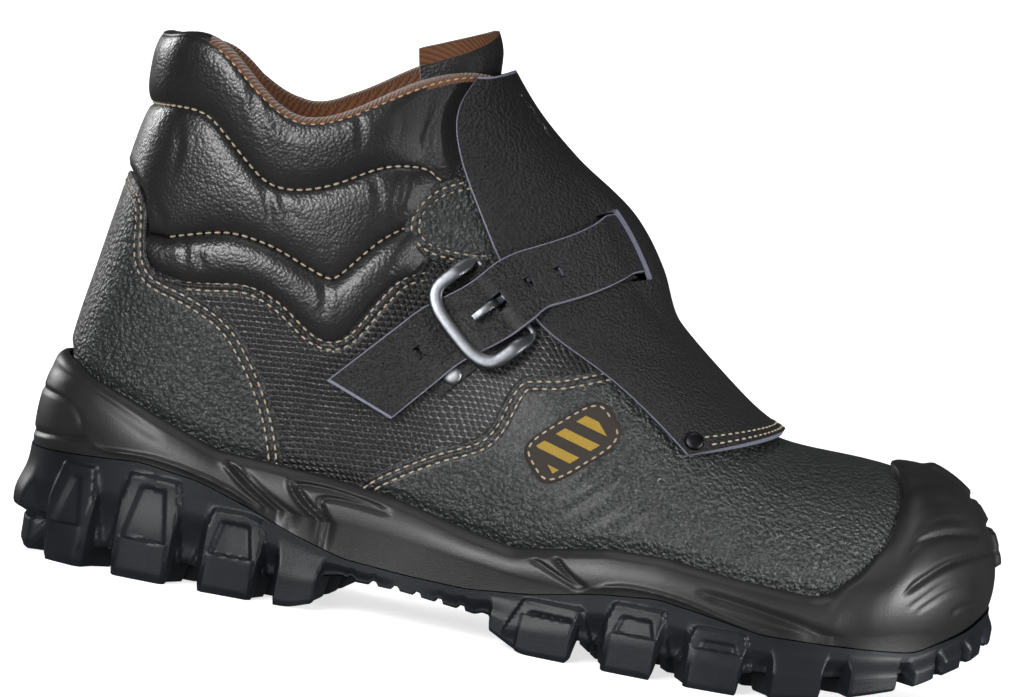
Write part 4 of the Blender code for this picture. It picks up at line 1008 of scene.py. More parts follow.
def facing_patch(side):
    """A fan: points on straight lines in side view from the patch's middle to its outline."""
    reach = steps((0.02, 0.8, 16), (0.82, 1.0, 24))
    middle = np.array(PATCH_MIDDLE)
    flat = middle + (patch_line[:, None, :] - middle) * reach[:, None]
    base, normal = on_side(flat[:, :, 0], flat[:, :, 1], side)
    return panel("facing_patch_" + side, base, normal, panel_lift(base, base[:, -1]) + 0.5, 1.0, PEBBLED)


for side in ("lateral", "medial"):
    facing_patch(side)

# %% [markdown]
# The midsole is moulded in one piece: a cup round the heel, swelling lines along the side and a guard that
# wraps over the toe. Its surface is worked out on a fine grid, and the moulded lines are pressed into it by
# their distance from curves marked on the side of the shoe, so they are real geometry and catch the light.

# %% Sole columns
GUARD_Z = (36, 42, 52, 60, 67, 72, 90)
GUARD_X = (256, 263.5, 270.8, 273.2, 273.6, 270, 266)
GUARD_START = 256.0


def sole_columns(step):
    """Return ring places about `step` millimetres apart on one side of the sole, mirrored on the other."""
    fine = np.linspace(0.0, TOE, 2601)
    length = run_of(foot_and_top(fine)[0])
    half = np.interp(np.linspace(0.0, length[-1], int(length[-1] / step)), length, fine)
    return np.concatenate([half, RING - half[-2::-1]])


class Sole:
    """What every column of the sole needs: feather line, heights, thickness and where walls cross them."""

    def __init__(self, ring):
        self.ring = ring
        self.foot, self.out, _, _, _ = foot_and_top(ring % RING)
        self.x = self.foot[:, 0]
        self.part = height("parting", self.x)
        self.core = height("core", self.x)
        self.ground = height("ground", self.x)
        self.base = height("base", self.x)
        self.floor = self.foot[:, 2]
        self.thick_low = rim_at("thick_low", self.x)
        self.thick_rim = rim_at("thick_rim", self.x)
        fine = np.linspace(0.0, 1.0, 601)
        walls = wall(ring, fine)
        climb = np.maximum.accumulate(walls[:, :, 2], 1)
        crossed = climb >= rim_at("rim", self.x)[:, None]
        guarded = self.x > GUARD_START
        edge = np.interp(walls[:, :, 2], GUARD_Z, GUARD_X)
        behind = (walls[:, :, 0] < edge) & (walls[:, :, 2] > self.part[:, None] + 8.0)
        stop = np.where(guarded[:, None], behind, crossed)
        self.rim_share = np.where(stop.any(1), fine[stop.argmax(1)], 1.0)
        self.part_share = fine[(climb >= self.part[:, None]).argmax(1)]
        padded = np.concatenate([self.rim_share[-4:-1], self.rim_share, self.rim_share[1:4]])
        smooth = np.convolve(padded, bell(7), mode="valid")
        self.rim_share = np.where(self.rim_share > 0.999, 1.0, smooth)
        wall_at = wall(ring, self.part_share[:, None])[:, 0]
        self.edge = wall_at + self.out * self.thick_low[:, None]
        self.edge[:, 2] = self.part

    def spine(self, inset):
        """Return plan points between the middle line of the sole and the feather line, at a share `inset`."""
        middle_x = SHOE_LENGTH / 2.0 + (self.x - SHOE_LENGTH / 2.0) * 0.80
        other = foot_and_top((RING - self.ring) % RING)[0]
        middle = np.stack([middle_x, (self.foot[:, 1] + other[:, 1]) / 2.0], 1)
        return middle + (self.foot[:, :2] - middle) * inset

    def beside(self, distance):
        """Return plan points of the feather line moved outward by a distance."""
        return self.foot[:, :2] + self.out[:, :2] * np.broadcast_to(distance, len(self.x))[:, None]

    def seat(self, drop, inset):
        """Return the rows where midsole and outsole meet, `drop` lower and ending `inset` inside the edge."""
        low = np.minimum(self.core + 0.3 * (self.part - self.core), self.floor - 3.0)
        high = np.minimum(self.core + 0.7 * (self.part - self.core), self.floor + 1.5)
        plans = [self.spine(0.0), self.spine(0.62), self.beside(-7.0), self.beside(-1.5),
                 self.beside(self.thick_low * 0.35), self.edge[:, :2] - self.out[:, :2] * inset]
        levels = [height("core", plan[:, 0]) for plan in plans[:2]] + [self.core, low, high, self.part]
        return [at_height(plan, level - drop) for plan, level in zip(plans, levels)]


def at_height(plan, z):
    """Return plan points at the heights z."""
    return np.column_stack([plan, np.broadcast_to(z, len(plan))])


def joined(*skins):
    """Return the points and the normals of grids, or of lists of rows, joined side by side into one skin."""
    grids = [points if isinstance(points, np.ndarray) else np.stack(points, 1) for points, _ in skins]
    normals = [np.broadcast_to(normal, grid.shape) for grid, (_, normal) in zip(grids, skins)]
    return np.concatenate(grids, 1), np.concatenate(normals, 1)


def groove(points, line, depth, width):
    """Return a trough of a depth and width along a line in side view, fading out at the line's ends."""
    near, along = beside(points, line)
    return -depth * ease(np.sin(np.pi * along), 0.0, 0.45) * np.exp(-(near / width) ** 2)


print("the sole's edge is", float(rim_at("thick_low", 100.0)), "mm thick at the waist")

# %% [markdown]
# The moulder's marks are lines on the side of the midsole, a few points each: the swelling lines below the
# ankle, the fan of grooves on the toe guard and the soft steps of the heel cup. A line is pressed in by a
# bell of its distance, which fades out at both ends.

# %% Midsole lines
# Each row: how deep (a ridge is negative), how wide, and the points of the line in side view.
MIDSOLE_LINES = (
    (-0.7, 0.8, ((21.5, 41), (23.6, 38), (29, 37.2), (39.4, 37.8), (51.2, 36.6), (68.3, 32.2),
                 (86.4, 24.6), (100, 20.6))),
    (-0.6, 0.8, ((61.5, 42.6), (69.8, 35.8), (78.5, 30.3), (89, 25.2), (99.3, 21.6), (105.2, 20.2))),
    (0.9, 0.9, ((63.5, 42.8), (73.1, 35.3), (84, 28.6), (96.4, 23), (106, 20.6))),
    (-0.6, 0.8, ((66, 42), (75, 35.6), (86, 29), (97, 23.9), (106.5, 20.8))),
    (0.9, 0.9, ((68.6, 40.6), (77.8, 33.9), (88.4, 28.1), (98.9, 23.3), (107.6, 20.8))),
    (-0.7, 0.9, ((119.3, 36.6), (108.8, 38.3), (97, 39.8), (88.2, 39.8), (85.8, 37.8), (89.3, 33.4),
                 (95.2, 29.4), (102.5, 24.5), (108.2, 21.2))),
    (0.8, 1, ((119, 34.8), (108.8, 36.8), (98, 38.2), (90, 38), (88.4, 36.8), (91.4, 33.2),
                (97.2, 28.9), (104, 24.2), (109.2, 21.2))),
    (0.8, 0.9, ((118.9, 33.6), (113.2, 34.6), (104, 35.4), (97.6, 35.2), (96.2, 33.4), (98.2, 29.8),
                (101.8, 26.4), (107.4, 22.4))),
    (0.7, 0.8, ((162.4, 29.6), (170, 26.5), (180.4, 22.4))),
    (0.9, 0.8, ((169.4, 32), (172.9, 28.3), (177.3, 25.3), (181.6, 23.2))),
    (-0.6, 0.8, ((182, 23.4), (190.1, 26), (199, 26.6), (208.7, 25.9), (218.6, 23.9), (232, 21),
                 (243, 20.6))),
    (1, 1.6, ((214, 29.2), (228.7, 27.4), (240.4, 25.6), (252.1, 23.4), (259.4, 21.4), (266.5, 19.9))),
)
TOE_LINES = (
    (0.75, 0.9, ((277.6, 38.1), (282.1, 42.6), (288.2, 47.5), (293.9, 50.4), (302.1, 52.4), (309.5, 52.6))),
    (0.8, 1, ((273.5, 50), (279, 53.6), (284.7, 56.6), (292.3, 58.4), (303, 58.4))),
    (0.35, 0.8, ((275, 55), (279.1, 57.6), (284, 60.6), (290, 62.4), (297, 62.4))),
    (0.30, 0.8, ((275.5, 62.4), (281.6, 65.6), (288.2, 67.2), (295, 66.4))),
    (0.30, 0.8, ((275, 68.6), (280, 71), (286, 71.6), (291.5, 70.2))),
    (0.25, 0.6, ((279.5, 33.6), (285.5, 39), (291.1, 43.2), (297.6, 45.2), (304.4, 45.4))),
    (0.25, 0.6, ((282.5, 33), (288, 37.6), (293.5, 41.2), (300, 43), (306, 42.8))),
    (0.35, 0.7, ((294.5, 33.8), (298, 36.4), (303.6, 38.2))),
)
HEEL_LINES = (
    (0.22, 1.7, ((1, 57.4), (12, 56.6), (22, 53), (34, 47.6), (46, 42.8))),
    (0.6, 1, ((0, 36.4), (8, 37.6), (16, 38.4), (21.5, 39.4))),
    (0.4, 0.9, ((0, 50.6), (7, 50.2), (13, 48.8), (17.5, 45), (18.5, 41))),
)
LINE_DEPTH = 1.45
TOE_PADS = ((47.5, 57.5, 2), (60.5, 65.5, 1.4), (68, 75, 1.6))


def moulded_relief(points):
    """Return the sum of all moulded lines of the midsole at the points of a grid."""
    total = np.zeros(points.shape[:2])
    for depth, width, line in MIDSOLE_LINES + TOE_LINES + HEEL_LINES:
        total += groove(points, line, LINE_DEPTH * depth, width)
    return total


def toe_pads(points):
    """Return three flat pads with steep sides on the middle line of the toe."""
    band = 1.0 - ease(np.abs(points[:, :, 1] - 8.0), 8.0, 11.0)
    x, z = points[:, :, 0], points[:, :, 2]
    total = np.zeros(points.shape[:2])
    for low, high, tall in TOE_PADS:
        total = np.maximum(total, tall * ease(z, low, low + 1.4) * (1.0 - ease(z, high, high + 1.4)))
    return total * band * ease(x, 280.0, 284.0)


def quarter_round(share):
    """Return the height of a quarter circle at a share of its width, 1 from there on."""
    return np.sqrt(1.0 - (1.0 - np.clip(share, 0.0, 1.0)) ** 2)


print("moulded lines:", len(MIDSOLE_LINES + TOE_LINES + HEEL_LINES), "and", len(TOE_PADS), "pads")

# %% [markdown]
# The side of the midsole follows the walls of the last, at a thickness that swells between the parting line
# and the rim. Along the rim and the back of the toe guard it is rounded off by a quarter circle.

# %% Midsole
SIDE_EDGE = 0.55
GUARD_EDGE = 1.35
SIDE_BELLY = 1.1
sole = Sole(sole_columns(0.8))
SIDE_RISE = steps((0.0, 0.06, 5), (0.06, 0.94, 72), (0.94, 1.0, 6))
level = sole.part_share[:, None] + (sole.rim_share - sole.part_share)[:, None] * SIDE_RISE
side_skin = wall(sole.ring, level)
turned = ease(SIDE_RISE, 0.0, 0.35)[:, None]
side_facing = unit(sole.out[:, None] + (wall_normal(sole.ring, level) - sole.out[:, None]) * turned)
thick = sole.thick_low[:, None] + (sole.thick_rim - sole.thick_low)[:, None] * SIDE_RISE
thick = thick + np.sin(np.pi * SIDE_RISE) * SIDE_BELLY
guard = ease(sole.x, 256.0, 268.0)[:, None]
below_rim = side_skin[:, -1:, 2] - side_skin[:, :, 2]
past_edge = side_skin[:, :, 0] - np.interp(side_skin[:, :, 2], GUARD_Z, GUARD_X)
side_thick = SIDE_EDGE + (thick - SIDE_EDGE) * quarter_round(below_rim / 3.0)
guard_thick = GUARD_EDGE + (thick - GUARD_EDGE) * quarter_round(past_edge / 12.0)
side_points = side_skin + side_facing * (side_thick + (guard_thick - side_thick) * guard)[:, :, None]
side_points[:, 0, 2] = sole.part
guard_back = np.interp(side_points[:, :, 2], GUARD_Z, GUARD_X)
on_guard = (side_points[:, :, 2] > 40.0) & (sole.x > 250.0)[:, None]
fade = np.where(on_guard, ease(side_points[:, :, 0] - guard_back, 1.0, 14.0), 1.0)
fade = fade * ease(below_rim + 9.0 * guard, 1.0, 4.0)
relief = moulded_relief(side_points) * fade + toe_pads(side_points)
side_points = side_points + side_facing * relief[:, :, None]
print("midsole relief from", round(float(relief.min()), 2), "to", round(float(relief.max()), 2), "mm")

# %% [markdown]
# A moulding is a solid, so the skin goes on round: under the foot, out to the parting line, up the side, over
# the rim and down inside the cup to the floor that the footbed lies on.

# %% Midsole as one closed skin
CUP_GAP = 0.35
under_rows = sole.seat(0.0, 2.0)
over_toe = sole.rim_share > 0.999
cup_share = sole.rim_share[:, None] * np.array([0.985, 0.85, 0.5, 0.2, 0.0])
cup_share[over_toe, 0] = 1.0
cup_gap = CUP_GAP + 1.6 * ease(sole.x, 252.0, 264.0) - 0.7 * ease(sole.x, 280.0, 292.0)
cup_gap = np.where(np.arange(5) == 0, np.minimum(cup_gap, 0.6)[:, None], cup_gap[:, None])
cup_points = wall(sole.ring, cup_share) + wall_normal(sole.ring, cup_share) * cup_gap[:, :, None]
cup_points[:, -1, 2] = sole.floor - CUP_GAP
floor_plans = [sole.spine(inset) for inset in (0.9, 0.0)]
floor_rows = [at_height(plan, height("floor", plan[:, 0]) - CUP_GAP) for plan in floor_plans]
UP = np.array([0.0, 0.0, 1.0])
midsole_points, midsole_facing = joined((under_rows, -UP), (side_points, side_facing), (cup_points, UP),
                                        (floor_rows, UP))
midsole_keep = np.ones((len(sole.x) - 1, midsole_points.shape[1] - 1), bool)
midsole_keep[over_toe[:-1] & over_toe[1:], len(under_rows) + len(SIDE_RISE) - 1] = False
midsole = sheet("midsole_moulded", midsole_points, midsole_facing, MIDSOLE_RUBBER, side_map(midsole_points),
                50.0, midsole_keep)
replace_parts(midsole, "midsole")

# %% [markdown]
# The outsole is the running rubber: a tall side wall with towers, each framed by a raised rib, that stand on
# block lugs. A smooth mask along the shoe says where a lug is, and the wall steps out, down and back with it.

# %% Lugs and towers
LUGS = ((4, 12.5), (18, 30), (37, 54), (62.5, 81), (86.5, 100), (155, 181), (190, 206.5),
        (215, 232), (240.5, 256), (264, 280.5), (284.5, 291.6), (293.4, 299.6), (301.4, 306),
        (307.6, 330))
TOWERS = ((18, 30), (37, 54), (62.5, 81), (163, 184), (190, 208), (215, 233))
LUG_FLARE = 2.0


def lug_mask(x, soft=0.9):
    """Return 1 on the lugs and 0 in the gaps between them, with steep soft flanks."""
    mask = np.zeros(np.shape(x))
    for start, end in LUGS:
        mask = np.maximum(mask, ease(x, start - soft, start + soft) * (1.0 - ease(x, end - soft, end + soft)))
    return mask


def tower_relief(x, z):
    """Return raised frames: a step up inside a tower's outline, one down further in, and the block below."""
    total = np.zeros(np.broadcast_shapes(np.shape(x), np.shape(z)))
    for start, end in TOWERS:
        middle = (start + end) / 2.0
        half = (end - start) / 2.0
        top = np.interp(middle, HEIGHT_TABLE["x"], HEIGHT_TABLE["parting"])
        rise = np.clip((z - 7.0) / np.maximum(top - 10.0, 1.0), 0.0, 1.2)
        frame_rise = 0.0
        for inset, roof, step in ((0.0, 3.0, 1.3), (4.2, 6.6, -1.0)):
            width = half + 2.6 - inset - rise * 4.2
            inside = ease(width - np.abs(x - middle), -0.7, 0.7) * ease(top - roof - z, -0.7, 0.7)
            frame_rise = frame_rise + step * inside
        total = np.maximum(total, frame_rise * ease(z, 4.0, 7.0))
        block = (1.0 - ease(np.abs(x - middle), half - 2.2, half - 0.8)) * (1.0 - ease(z, 12.2, 13.0))
        total = np.maximum(total, 1.7 * block)
    return total


def heel_notches(x, z):
    """Return the stepped back of the heel: a full upper block, a deep notch and a lower block set in."""
    fade = 1.0 - ease(x, 12.0, 20.0)
    notch = -2.6 * np.exp(-((z - 11.6) / 1.3) ** 4)
    return fade * (notch - 3.6 * (1.0 - ease(z, 10.4, 12.4)) + 1.2 * np.exp(-((z - 18.0) / 6.0) ** 2))


print("lugs on each side:", len(LUGS), "with", len(TOWERS), "framed towers")

# %% [markdown]
# The outsole's skin starts on the face under the midsole, runs down the side wall and then inward along the
# tread. The rows of the tread step between the lugs' height and the base, which cuts the grooves.

# %% Outsole
tread = Sole(sole_columns(0.6))
tread_run = tread.x + (tread.edge[:, 0] - tread.x) * ease(tread.x, 256.0, 268.0)
lug = lug_mask(tread_run)
tread_z = tread.base + (tread.ground - tread.base) * lug
arch = ease(tread.x, 106.0, 110.0) * (1.0 - ease(tread.x, 149.0, 153.0))
tread_z = tread_z - 1.3 * arch * ease(np.cos(2.0 * np.pi * (tread.x - 106.0) / 7.2), -0.75, -0.35)
WALL_DROP = steps((0.0, 0.9, 46), (0.92, 1.0, 5))
toe_drop = 0.7 * ease(tread.x, 284.0, 296.0)
wall_top = tread.part - 0.3 - toe_drop
wall_z = wall_top[:, None] + (tread_z - wall_top)[:, None] * WALL_DROP
flare = LUG_FLARE * lug[:, None] * ease(WALL_DROP, 0.1, 0.62)
arch_free = 1.0 - ease(tread.ground, 7.0, 12.0) * (1.0 - ease(tread.x, 236.0, 258.0))
valley = -2.6 * (1.0 - lug[:, None]) * ease(WALL_DROP, 0.35, 0.8) * arch_free[:, None]
corner = -1.1 * ease(WALL_DROP, 0.9, 1.0) ** 2
ribs = tower_relief(tread.x[:, None], wall_z)
ribs = ribs + heel_notches(tread.x[:, None], wall_z)
out_by = 0.4 + flare + valley + corner + ribs * ease(WALL_DROP, 0.02, 0.10)
wall_points = np.concatenate([
    tread.edge[:, None, :2] + tread.out[:, None, :2] * out_by[:, :, None], wall_z[:, :, None]], 2)

bottom_rows = []
toe_curl = 3.0 * ease(tread.x, 284.0, 291.0) + 3.5 * ease(tread.x, 291.0, 298.6)
lug_foot = LUG_FLARE * lug - 2.2 + heel_notches(tread.x, tread_z)
bottom_rows.append(at_height(tread.edge[:, :2] + tread.out[:, :2] * lug_foot[:, None], tread_z))
bottom_rows.append(at_height(tread.beside(tread.thick_low * 0.2), tread_z - toe_curl))
for inset, bar in ((0.80, 1.0), (0.78, 0.0), (0.64, 0.0), (0.62, 1.0), (0.46, 1.0), (0.44, 0.0), (0.34, 0.0),
                   (0.32, 1.0), (0.0, 1.0)):
    plan = tread.spine(inset)
    pad = height("base", plan[:, 0])
    low = np.minimum(height("ground", plan[:, 0]), pad)
    bottom_rows.append(at_height(plan, pad + (low - pad) * lug * bar))
top_rows = tread.seat(0.45 + toe_drop, 1.8)
outsole_points, outsole_facing = joined((top_rows, UP), (wall_points, tread.out[:, None]), (bottom_rows, -UP))
outsole = sheet("outsole_moulded", outsole_points, outsole_facing, OUTSOLE_RUBBER, side_map(outsole_points),
                35.0)
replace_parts(outsole, "outsole")

# %% [markdown]
# The tongue is a padded arch under the facings. It rises above the collar at the front, black outside, with a
# band of the brown lining along the top that widens toward its sides.

# %% Tongue
TONGUE = ((205, 92, 15, -3, -4, 4), (192, 103.5, 19, -4.5, -7, 4),
          (177, 115.5, 21, -6.5, -9, 4.5), (161, 131, 22, -9, -10, 5),
          (145.5, 145, 22, -12, -10, 5.5), (130.5, 158.5, 20.5, -15, -9, 6),
          (126.8, 172, 19.5, -22, -9, 6), (126, 186.5, 20.5, -25, -10, 6))
TONGUE_LONG = 90
TONGUE_WIDE = 61
tongue_rows = spline(np.array(TONGUE), np.linspace(0.0, len(TONGUE) - 1.0, TONGUE_LONG))[:, None]
tongue_turn = np.linspace(-1.0, 1.0, TONGUE_WIDE)
lean = 1.0 - np.sqrt(1.0 - (0.96 * np.abs(tongue_turn)) ** 2)
lean = lean / lean[-1]
tongue_mid = np.stack([tongue_rows[:, :, 0] + tongue_rows[:, :, 3] * lean, tongue_rows[:, :, 2] * tongue_turn,
                       tongue_rows[:, :, 1] + tongue_rows[:, :, 4] * lean], -1)
tongue_normal = unit(np.cross(np.gradient(tongue_mid, axis=1), np.gradient(tongue_mid, axis=0)))
tongue_normal = tongue_normal * np.sign(tongue_normal[:, TONGUE_WIDE // 2, None, :1])
from_end, from_side = (np.minimum(np.arange(count), np.arange(count)[::-1]) for count in tongue_mid.shape[:2])
puff = np.sqrt(ease(from_end, 0.0, 7.0)[:, None] * ease(from_side, 0.0, 8.0))
tongue_full = tongue_rows[:, :, 5]
tongue_thick = tongue_full * (0.25 + 0.75 * puff)
tongue_outer = tongue_mid - tongue_normal * ((tongue_full - tongue_thick) / 2.0)[:, :, None]
tongue_inner = tongue_outer - tongue_normal * tongue_thick[:, :, None]


def tongue_finish():
    """Soft leather, with brown ribbed cloth above a slanted line near the top."""
    finish = Finish("tongue_leather", (0.018, 0.018, 0.018), 0.40, Specular_IOR_Level=0.45)
    across, upward, _ = finish.parts(finish.place("UV"))
    band = (upward - (1.0 - across.size() * 0.055)).over(0.0)
    turn = 2.0 * np.pi / 0.045
    rib = ((across + upward * 2.4) * turn).sine() * 0.5 + 0.5
    knot = ((upward * 6.0 - across * 0.5) * turn).sine() * 0.5 + 0.5
    weave = (rib * 0.6 + knot * 0.25 + finish.noise(1400.0, 2.0) * 0.3).least(1.0)
    wrinkle = finish.noise(230.0, 4.0, 0.65)
    grain = wrinkle * 0.8 + (1.0 - finish.pebbles(0.0010, 0.3)) * 0.4
    finish.bump(grain * (1.0 - band) + band * weave, 0.0004, 0.8)
    black = finish.mix(wrinkle, (0.008, 0.008, 0.008), (0.018, 0.018, 0.018))
    brown = finish.mix(weave, (0.035, 0.013, 0.005), (0.13, 0.048, 0.016))
    return finish.feed(Base_Color=finish.mix(band, black, brown), Roughness=band * 0.45 + 0.42)


tongue_up = np.linspace(0.0, 1.0, TONGUE_LONG)
tongue_map = np.stack(np.broadcast_arrays(tongue_turn, tongue_up[:, None]), -1)
tongue = slab("tongue_padded", tongue_outer, tongue_inner, tongue_normal, [tongue_finish(), LINING, BINDING],
              None, tongue_map, 50.0)
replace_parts(tongue, "tongue")

# %% [markdown]
# The flap is a stiff piece of hide that shields the throat from sparks. It arches over the instep, is sewn
# down at the front, and has a slit where the strap comes out. It is cut leather, so its edge is bare and
# bluish. Each row of the table is a place on its ridge and a place on its side edge.

# %% Flap
FLAP = ((234.5, 77.5, 204.5, 67.5), (225, 82, 191, 77.5), (213, 90.5, 174, 88),
        (201.5, 99.5, 155, 97.5), (192, 108.5, 146, 106), (184.5, 119.5, 137.2, 115.6),
        (177, 130, 129.5, 127), (165, 141.5, 121.5, 140), (151, 152.5, 116.8, 150),
        (139, 163, 115.2, 160), (129.5, 174, 119.5, 170))
FLAP_THICK = 2.0
FLAP_STANDOFF = {"lateral": 1.6, "medial": 4.6}
SLIT_ROWS = (4.75, 6.45)
SLIT_ANGLES = (22.0, 34.0)
SLIT_LIFT = 2.6
flap_table = np.array(FLAP)
flap_edge = {}
for side in ("lateral", "medial"):
    edge_point, edge_normal = on_side(flap_table[:, 2], flap_table[:, 3], side)
    flap_edge[side] = edge_point + edge_normal * FLAP_STANDOFF[side]


def flap_point(row, angle):
    """Return points of the flap's underside: an arch from its ridge to its side edge in each row."""
    row, angle = np.broadcast_arrays(np.asarray(row, float), np.asarray(angle, float))
    shape = row.shape + (3,)
    row = row.ravel()
    angle = angle.ravel()
    ridge = spline(flap_table[:, :2], row)
    ridge = np.stack([ridge[:, 0], np.zeros(len(row)), ridge[:, 1]], 1)
    edge = np.where(angle[:, None] > 0, spline(flap_edge["lateral"], row), spline(flap_edge["medial"], row))
    turn = np.radians(np.abs(angle))[:, None]
    arch = ridge + (edge - ridge) * (1.0 - np.cos(turn)) ** 0.9
    arch[:, 1] = edge[:, 1] * np.sin(turn[:, 0]) ** 0.92
    lift = SLIT_LIFT * ease(row, 3.6, 5.0) * (1.0 - ease(row, 6.2, 7.8))
    lift = lift * (1.0 - ease(angle, SLIT_ANGLES[0], SLIT_ANGLES[1])) * ease(angle, -80.0, -20.0)
    return (arch + unit(arch - np.array([130.0, 0.0, 70.0])) * lift[:, None]).reshape(shape)


def flap_normal(row, angle):
    """Return outward normals of the flap from the slopes along and across it."""
    ahead = flap_point(row + 0.05, angle) - flap_point(row - 0.05, angle)
    beside = flap_point(row, np.clip(angle + 1.0, -90, 90)) - flap_point(row, np.clip(angle - 1.0, -90, 90))
    normal = unit(np.cross(ahead, beside))
    outward = flap_point(row, angle) - np.array([130.0, 0.0, 60.0])
    return normal * np.sign(np.sum(normal * outward, -1, keepdims=True))


print("flap rows:", len(FLAP), "with a slit from row", SLIT_ROWS[0], "to", SLIT_ROWS[1])

# %% [markdown]
# Leather lies on leather and never inside it. Points of the upper near the flap are kept as a cloud with
# their normals, and a grid that comes too close is pushed out along them. Averaging the push over
# neighbouring rows keeps the hide smooth.

# %% Standing clear of the upper
skin_ring = np.concatenate([np.linspace(3.2, 10.5, 150), RING - np.linspace(3.2, 10.5, 150)])
skin_share = np.linspace(0.1, 1.0, 90)
SKIN = wall(skin_ring, skin_share).reshape(-1, 3)
SKIN_OUT = wall_normal(skin_ring, skin_share).reshape(-1, 3)
near_flap = (SKIN[:, 2] > 60.0) & (SKIN[:, 0] > 105.0) & (SKIN[:, 0] < 245.0)
SKIN, SKIN_OUT = SKIN[near_flap], SKIN_OUT[near_flap]


def clear_of(points, skin, facing, distance, reach, passes=3):
    """Return points moved along the normals of the nearest skin until they stand clear by a distance."""
    flat = points.reshape(-1, 3).copy()
    wanted = np.broadcast_to(distance, points.shape[:-1]).ravel()
    for _ in range(passes):
        near = nearest(flat, skin)
        away = flat - skin[near]
        clear = np.sum(away * facing[near], 1)
        push = np.where(np.linalg.norm(away, axis=1) < reach, np.maximum(wanted - clear, 0.0), 0.0)
        flat += facing[near] * push[:, None]
    return flat.reshape(points.shape)


def soften(grid, rows):
    """Return a grid averaged over neighbouring rows, its first and last rows kept."""
    half = rows // 2
    padded = np.concatenate([np.repeat(grid[:1], half, 0), grid, np.repeat(grid[-1:], half, 0)])
    smooth = sum(weight * padded[place:place + len(grid)] for place, weight in enumerate(bell(rows)))
    smooth[0], smooth[-1] = grid[0], grid[-1]
    return smooth


print("places kept of the upper near the flap:", len(SKIN))

# %% [markdown]
# The flap is laid out in rows along the ridge and angles around it, finer where the slit is. Where the strap
# runs under it on the inner side, it stands off further. The slit is made by leaving out quads.

# %% Flap mesh
SLIT_STEPS = (28, 10)
flap_rows = steps((0.0, SLIT_ROWS[0], 66), (*SLIT_ROWS, SLIT_STEPS[0]), (SLIT_ROWS[1], 9.94, 45),
                  (9.94, 10.0, 2))
flap_angles = -steps((-90.0, -89.3, 2), (-89.3, -SLIT_ANGLES[1], 37),
                     (-SLIT_ANGLES[1], -SLIT_ANGLES[0], SLIT_STEPS[1]), (-SLIT_ANGLES[0], 89.3, 55),
                     (89.3, 90.0, 2))
flap_row, flap_angle = np.meshgrid(flap_rows, flap_angles, indexing="ij")
flap_facing = flap_normal(flap_row, flap_angle)
strap_room = ease(flap_row, 2.0, 3.4) * (1.0 - ease(flap_row, 7.0, 8.4)) * ease(-flap_angle, 4.0, 16.0)
flap_free = flap_point(flap_row, flap_angle)
flap_push = clear_of(flap_free, SKIN, SKIN_OUT, 1.7 + 2.6 * strap_room, 6.0) - flap_free
near_top = 20.0 * ease(flap_row, 7.0, 8.4)
flap_push = flap_push * ease(np.abs(flap_angle), 22.0 + near_top, 44.0 + near_top)[:, :, None]
flap_under = flap_free + np.swapaxes(soften(np.swapaxes(soften(flap_push, 11), 0, 1), 9), 0, 1)
in_slit = ((flap_row[:-1, :-1] > SLIT_ROWS[0] - 1e-6) & (flap_row[1:, 1:] < SLIT_ROWS[1] + 1e-6)
           & (flap_angle[:-1, :-1] < SLIT_ANGLES[1] + 1e-6) & (flap_angle[1:, 1:] > SLIT_ANGLES[0] - 1e-6))
flap_map = np.stack([flap_row * 10.0, flap_angle], -1) * MM
flap_trim = np.zeros(in_slit.shape, bool)
flap_trim[:, [0, -1]] = True
flap_trim[-1] = True
flap_over = flap_under + flap_facing * FLAP_THICK
flap = slab("flap_hide", flap_over, flap_under, flap_facing, [FLAP_HIDE, CUT_EDGE], ~in_slit, flap_map,
            trim=flap_trim)
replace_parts(flap, "flap")

# %% [markdown]
# The strap starts on the inner side of the shoe, runs under the flap, comes out through the slit and is held
# by the buckle on the outer side. Its middle line is followed zone by zone, each by its own formula, and the
# joins between the zones are softened.

# %% Strap
STRAP_UP = 48.2
STRAP_WIDTH = 21.5
STRAP_THICK = 2.0
STRAP_CENTRE = 35.4
STRAP_FREE_CENTRE = 31.2
STRAP_LIP = 0.3
STRAP_FREE = ((118, 5.2), (126, 4), (134, 3.7), (140, 4.2), (143.5, 4.4), (150, 4.4),
              (157, 4.4), (164, 5.9), (168.6, 7.5), (172.2, 7.8), (176.5, 6.9))
strap_dir = np.array([np.cos(np.radians(STRAP_UP)), np.sin(np.radians(STRAP_UP))])
strap_side = np.array([strap_dir[1], -strap_dir[0]])
strap_rim = STRAP_WIDTH / 2.0
strap_inner = strap_rim - STRAP_LIP
strap_across = np.concatenate([[-strap_rim], np.linspace(-strap_inner, strap_inner, 36), [strap_rim]])


def on_strap(along, across, side="lateral"):
    """Return points and normals of the upper at places along and across the strap, seen from the side."""
    along, across = np.broadcast_arrays(np.asarray(along, float), np.asarray(across, float))
    flat = along[..., None] * strap_dir + across[..., None] * strap_side
    return on_side(flat[..., 0], flat[..., 1], side)


free_along = np.linspace(118.0, 176.5, 92)[:, None]
free_centre = STRAP_FREE_CENTRE + (STRAP_CENTRE - STRAP_FREE_CENTRE) * ease(free_along, 146.0, 170.0)
free_slant = 8.0 * strap_across / STRAP_WIDTH * (1.0 - ease(free_along, 118.0, 132.0))
free_lift = np.interp(free_along, *np.array(STRAP_FREE).T)
free_point, free_normal = on_strap(free_along + free_slant, free_centre + strap_across)

